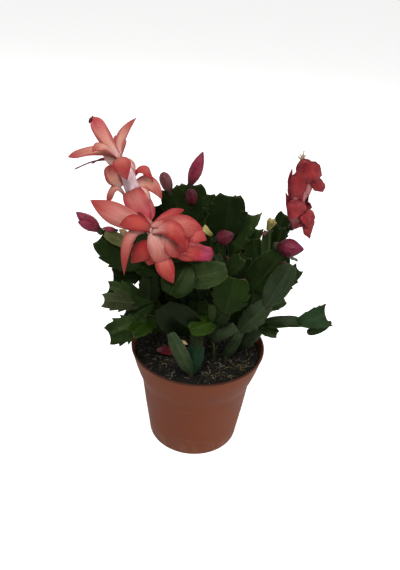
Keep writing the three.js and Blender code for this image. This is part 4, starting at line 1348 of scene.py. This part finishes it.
# Soil: a plug with a lumpy top, drawn row by row from the middle of its foot to the middle of its top
soilShape = {
    "side": [[0, 2.1], [34.4, 2.1], [42.0, 58.4], [44.0, 61.2], [46.5, 70], [49.0, 80.0]],
    "top": 49.0,
    "topHeight": 80.8,
    "around": 200,
    "along": 84,
    "lump": [0.085, 1.6],  # how many to a millimetre, and their height
    "swell": [0.35, 0.6],
    "crumb": [0.9, 1.5],
    "toneScale": 220,
    "tone": [0.7, 0.5],
    "peat": (0.010, 0.008, 0.0055),
}


def soilRise(x, y, shape):
    lump, swell, crumb = (
        noise.noise(Vector((x, y, 0)) * scale) * height
        for scale, height in (shape["lump"], shape["swell"], shape["crumb"])
    )
    return lump + swell + abs(crumb)


def buildSoil(shape):
    sheet = gridSheet("soil_fill", shape["around"], shape["along"])
    spots = spotsOf(sheet)
    side = shape["side"]
    plain, mottled = shape["tone"]
    tints = []
    for index, (across, down, _) in enumerate(spots):
        turn = (across + 1) * math.pi
        row = round((down + 1) / 2 * shape["along"])
        if row < len(side):
            radius, height = side[row]
            x, y = onCircle(radius, turn)
        else:
            radius = shape["top"] * (shape["along"] - row) / (shape["along"] - len(side) + 1)
            x, y = onCircle(radius, turn)
            height = shape["topHeight"] + soilRise(x, y, shape)
        spots[index] = (x * mm, y * mm, height * mm)
        tone = plain + mottled * noise.noise(Vector(spots[index]) * shape["toneScale"])
        tints.append([tone * part for part in shape["peat"]])
    setSpots(sheet, spots)
    paint(sheet, "tint", tints)
    return place(dress(closeSeams(sheet), soilMaterial), "potting_soil", "soil")


buildSoil(soilShape)

# Crumbs of peat, pale flecks and yellowish fibres on the soil
litterShape = {
    "seed": 11,
    "reach": 47.5,
    "crumbs": {
        "count": 900,
        "size": (0.35, 1.1),
        "shades": [(0.010, 0.008, 0.0055), (0.024, 0.019, 0.013), (0.005, 0.004, 0.003)],
    },
    "flecks": {
        "count": 260,
        "size": (0.2, 0.55),
        "shades": [(0.34, 0.30, 0.22), (0.16, 0.14, 0.10), (0.22, 0.20, 0.08)],
    },
    "stretch": [(0.6, 1.5), (0.6, 1.2), (0.4, 0.8)],
    "above": 0.2,
    "fibres": {
        "count": 420,
        "reach": 43.5,
        "length": (1.6, 8),
        "bend": 0.4,
        "middleRise": (0.6, 1.8),
        "endRise": (0.2, 1.2),
        "radius": (0.12, 0.26),
        "radii": [[0, 0], [0.1, 1], [0.9, 0.7], [1, 0]],
        "around": 4,
        "along": 7,
        "shades": [(0.30, 0.26, 0.09), (0.17, 0.16, 0.06), (0.10, 0.08, 0.045), (0.30, 0.28, 0.24),
                   (0.16, 0.15, 0.13)],
    },
}


def soilPlace(draw, reach):
    radius = reach * math.sqrt(draw.random())
    x, y = onCircle(radius, draw.uniform(0, 2 * math.pi))
    return np.array([x, y, soilShape["topHeight"] + soilRise(x, y, soilShape)])


def scatterCrumbs(name, kind, shape, draw):
    deselectAll()
    bpy.ops.mesh.primitive_ico_sphere_add(subdivisions=1, radius=1)
    master = dress(named(bpy.context.object, "master_crumb"), soilMaterial)
    ball = spotsOf(master)
    pieces = []
    for _ in range(kind["count"]):
        spot = soilPlace(draw, shape["reach"])
        size = draw.uniform(*kind["size"])
        stretch = np.array([draw.uniform(*ends) for ends in shape["stretch"]])
        cos, sin = onCircle(1, draw.uniform(0, 2 * math.pi))
        turned = np.array([[cos, sin, 0], [-sin, cos, 0], [0, 0, 1]])
        crumb = copyOf(master, name)
        setSpots(crumb, (ball * stretch * size @ turned + spot + [0, 0, shape["above"] * size]) * mm)
        pieces.append(paint(crumb, "tint", draw.choice(kind["shades"])))
    bpy.data.objects.remove(master)
    return place(joinUp(pieces, name), "potting_soil")


def scatterFibres(name, kind, draw):
    pieces = []
    for _ in range(kind["count"]):
        foot = soilPlace(draw, kind["reach"])
        cos, sin = onCircle(1, draw.uniform(0, 2 * math.pi))
        length = draw.uniform(*kind["length"])
        bend = draw.uniform(-1, 1) * length * kind["bend"]
        middle = foot + [cos * length / 2 - sin * bend, sin * length / 2 + cos * bend,
                         draw.uniform(*kind["middleRise"])]
        end = foot + [cos * length, sin * length, draw.uniform(*kind["endRise"])]
        radii = scaledRadii(kind["radii"], draw.uniform(*kind["radius"]))
        stops = [[0, draw.choice(kind["shades"])]]
        pieces.append(rolledSheet(name, [foot, middle, end], radii, stops, kind["around"], kind["along"]))
    return place(dress(closeSeams(joinUp(pieces, name)), soilMaterial), "potting_soil")


litterDraw = random.Random(litterShape["seed"])
for kind in ("crumbs", "flecks"):
    scatterCrumbs("soil_" + kind, litterShape[kind], litterShape, litterDraw)
scatterFibres("soil_fibres", litterShape["fibres"], litterDraw)
print("soil ready")

# Pot: a disc extruded up ring by ring, over the lip and down the inside
potShape = {
    "sides": 128,
    "smoothAngle": 40,
    # Radius and height of each ring, from the foot's edge to the inside of the floor
    "outline": [
        [34.6, 0], [35.9, 0.15], [36.5, 0.7], [36.65, 1.6], [40.5, 30], [43.3, 53.5], [43.75, 56],
        [44.3, 58.2], [44.95, 60], [45.65, 61.7], [46.35, 63.5], [47.0, 65.4], [49.2, 72.6], [52.0, 83.6],
        [52.1, 84.3], [52.45, 84.7], [52.5, 85.2], [52.45, 85.8], [52.1, 86.0], [51.2, 86.0], [50.9, 85.7],
        [50.7, 84.6], [44.7, 61], [44.3, 60.2], [42.6, 59], [42.4, 58], [35.0, 2.2], [34.4, 1.9],
    ],
    "drains": {"count": 4, "radius": 3.5, "ring": 25, "sides": 32, "depth": 12},
}


def drillDrains(pot, drains):
    for index in range(drains["count"]):
        turn = (index + 0.5) * 2 * math.pi / drains["count"]
        deselectAll()
        bpy.ops.mesh.primitive_cylinder_add(
            vertices=drains["sides"], radius=drains["radius"] * mm, depth=drains["depth"] * mm,
            location=(*onCircle(drains["ring"] * mm, turn), 0))
        drill = bpy.context.object
        cut = pot.modifiers.new("drain", "BOOLEAN")
        cut.operation = "DIFFERENCE"
        cut.object = drill
        applyAll(pot)
        bpy.data.objects.remove(drill)


def buildPot(shape):
    (radius, height), *rings = shape["outline"]
    deselectAll()
    bpy.ops.mesh.primitive_circle_add(
        vertices=shape["sides"], radius=radius * mm, fill_type="NGON", location=(0, 0, height * mm))
    pot = named(bpy.context.object, "pot_shell")
    bpy.ops.object.transform_apply(location=True)
    bpy.ops.object.mode_set(mode="EDIT")
    for nextRadius, nextHeight in rings:
        step = (0, 0, (nextHeight - height) * mm)
        bpy.ops.mesh.extrude_region_move(TRANSFORM_OT_translate={"value": step})
        grow = nextRadius / radius
        bpy.ops.transform.resize(value=(grow, grow, 1), center_override=(0, 0, nextHeight * mm))
        radius, height = nextRadius, nextHeight
    bpy.ops.mesh.select_all(action="SELECT")
    bpy.ops.mesh.normals_make_consistent(inside=False)
    bpy.ops.object.mode_set(mode="OBJECT")
    drillDrains(pot, shape["drains"])
    pick(pot)
    bpy.ops.object.shade_smooth_by_angle(angle=math.radians(shape["smoothAngle"]))
    return place(dress(pot, potMaterial), "terracotta_plastic", "pot")


buildPot(potShape)
print("pot ready")

# Floor, light and sky
stageSetup = {
    "floorSize": 14,
    "floorDrop": 0.0002,
    "floorColor": (0.82, 0.82, 0.81),
    "floorShade": 0.985,
    "floorPatches": (4.0, 0.2, 0.8),
    "floorRoughness": 0.9,
    "floorSpecular": 0.1,
    "floorGlow": 0.6,
    "sky": (1.0, 1.0, 1.0),
    "skyStrength": (0.36, 0.93),  # as light, and as the camera sees it
    "lightTarget": (0, 0, 0.12),
    "lights": {
        "key": {"place": (-0.2, -0.62, 1.2), "size": 0.6, "power": 12.5},
        "fill": {"place": (0.95, -0.35, 0.55), "size": 0.8, "power": 6},
        "back": {"place": (0.2, 0.8, 0.9), "size": 0.6, "power": 3},
    },
}


def cameraRays(tree):
    return addNode(tree, "LightPath", {}).outputs["Is Camera Ray"]


def buildFloor(setup):
    deselectAll()
    bpy.ops.mesh.primitive_plane_add(size=setup["floorSize"], location=(0, 0, -setup["floorDrop"]))
    floor = named(bpy.context.object, "floor")
    material, tree, shader = newMaterial("paleFloor")
    pale = setup["floorColor"]
    darker = [part * setup["floorShade"] for part in pale]
    sockets = {
        "Base Color": mixColor(tree, patchesOf(tree, setup["floorPatches"]), pale, darker),
        "Roughness": setup["floorRoughness"],
        "Specular IOR Level": setup["floorSpecular"],
        "Emission Color": (1, 1, 1),
        # The floor is bright to the camera alone, so it throws no light up at the plant
        "Emission Strength": product(tree, cameraRays(tree), setup["floorGlow"]),
    }
    for title, value in sockets.items():
        feed(tree, shader.inputs[title], value)
    dress(floor, material)


def buildLights(setup):
    for name, light in setup["lights"].items():
        data = bpy.data.lights.new(name, "AREA")
        data.energy = light["power"]
        data.size = light["size"]
        addAimed(name, data, light["place"], setup["lightTarget"])


def buildSky(setup):
    world = bpy.data.worlds.new("softSky")
    world.use_nodes = True
    tree = world.node_tree
    color, strength = tree.nodes["Background"].inputs[:2]
    feed(tree, color, setup["sky"])
    feed(tree, strength, ranged(tree, cameraRays(tree), setup["skyStrength"]))
    bpy.context.scene.world = world


buildFloor(stageSetup)
buildLights(stageSetup)
buildSky(stageSetup)
bpy.context.scene.view_settings.view_transform = "Standard"
print("stage ready")
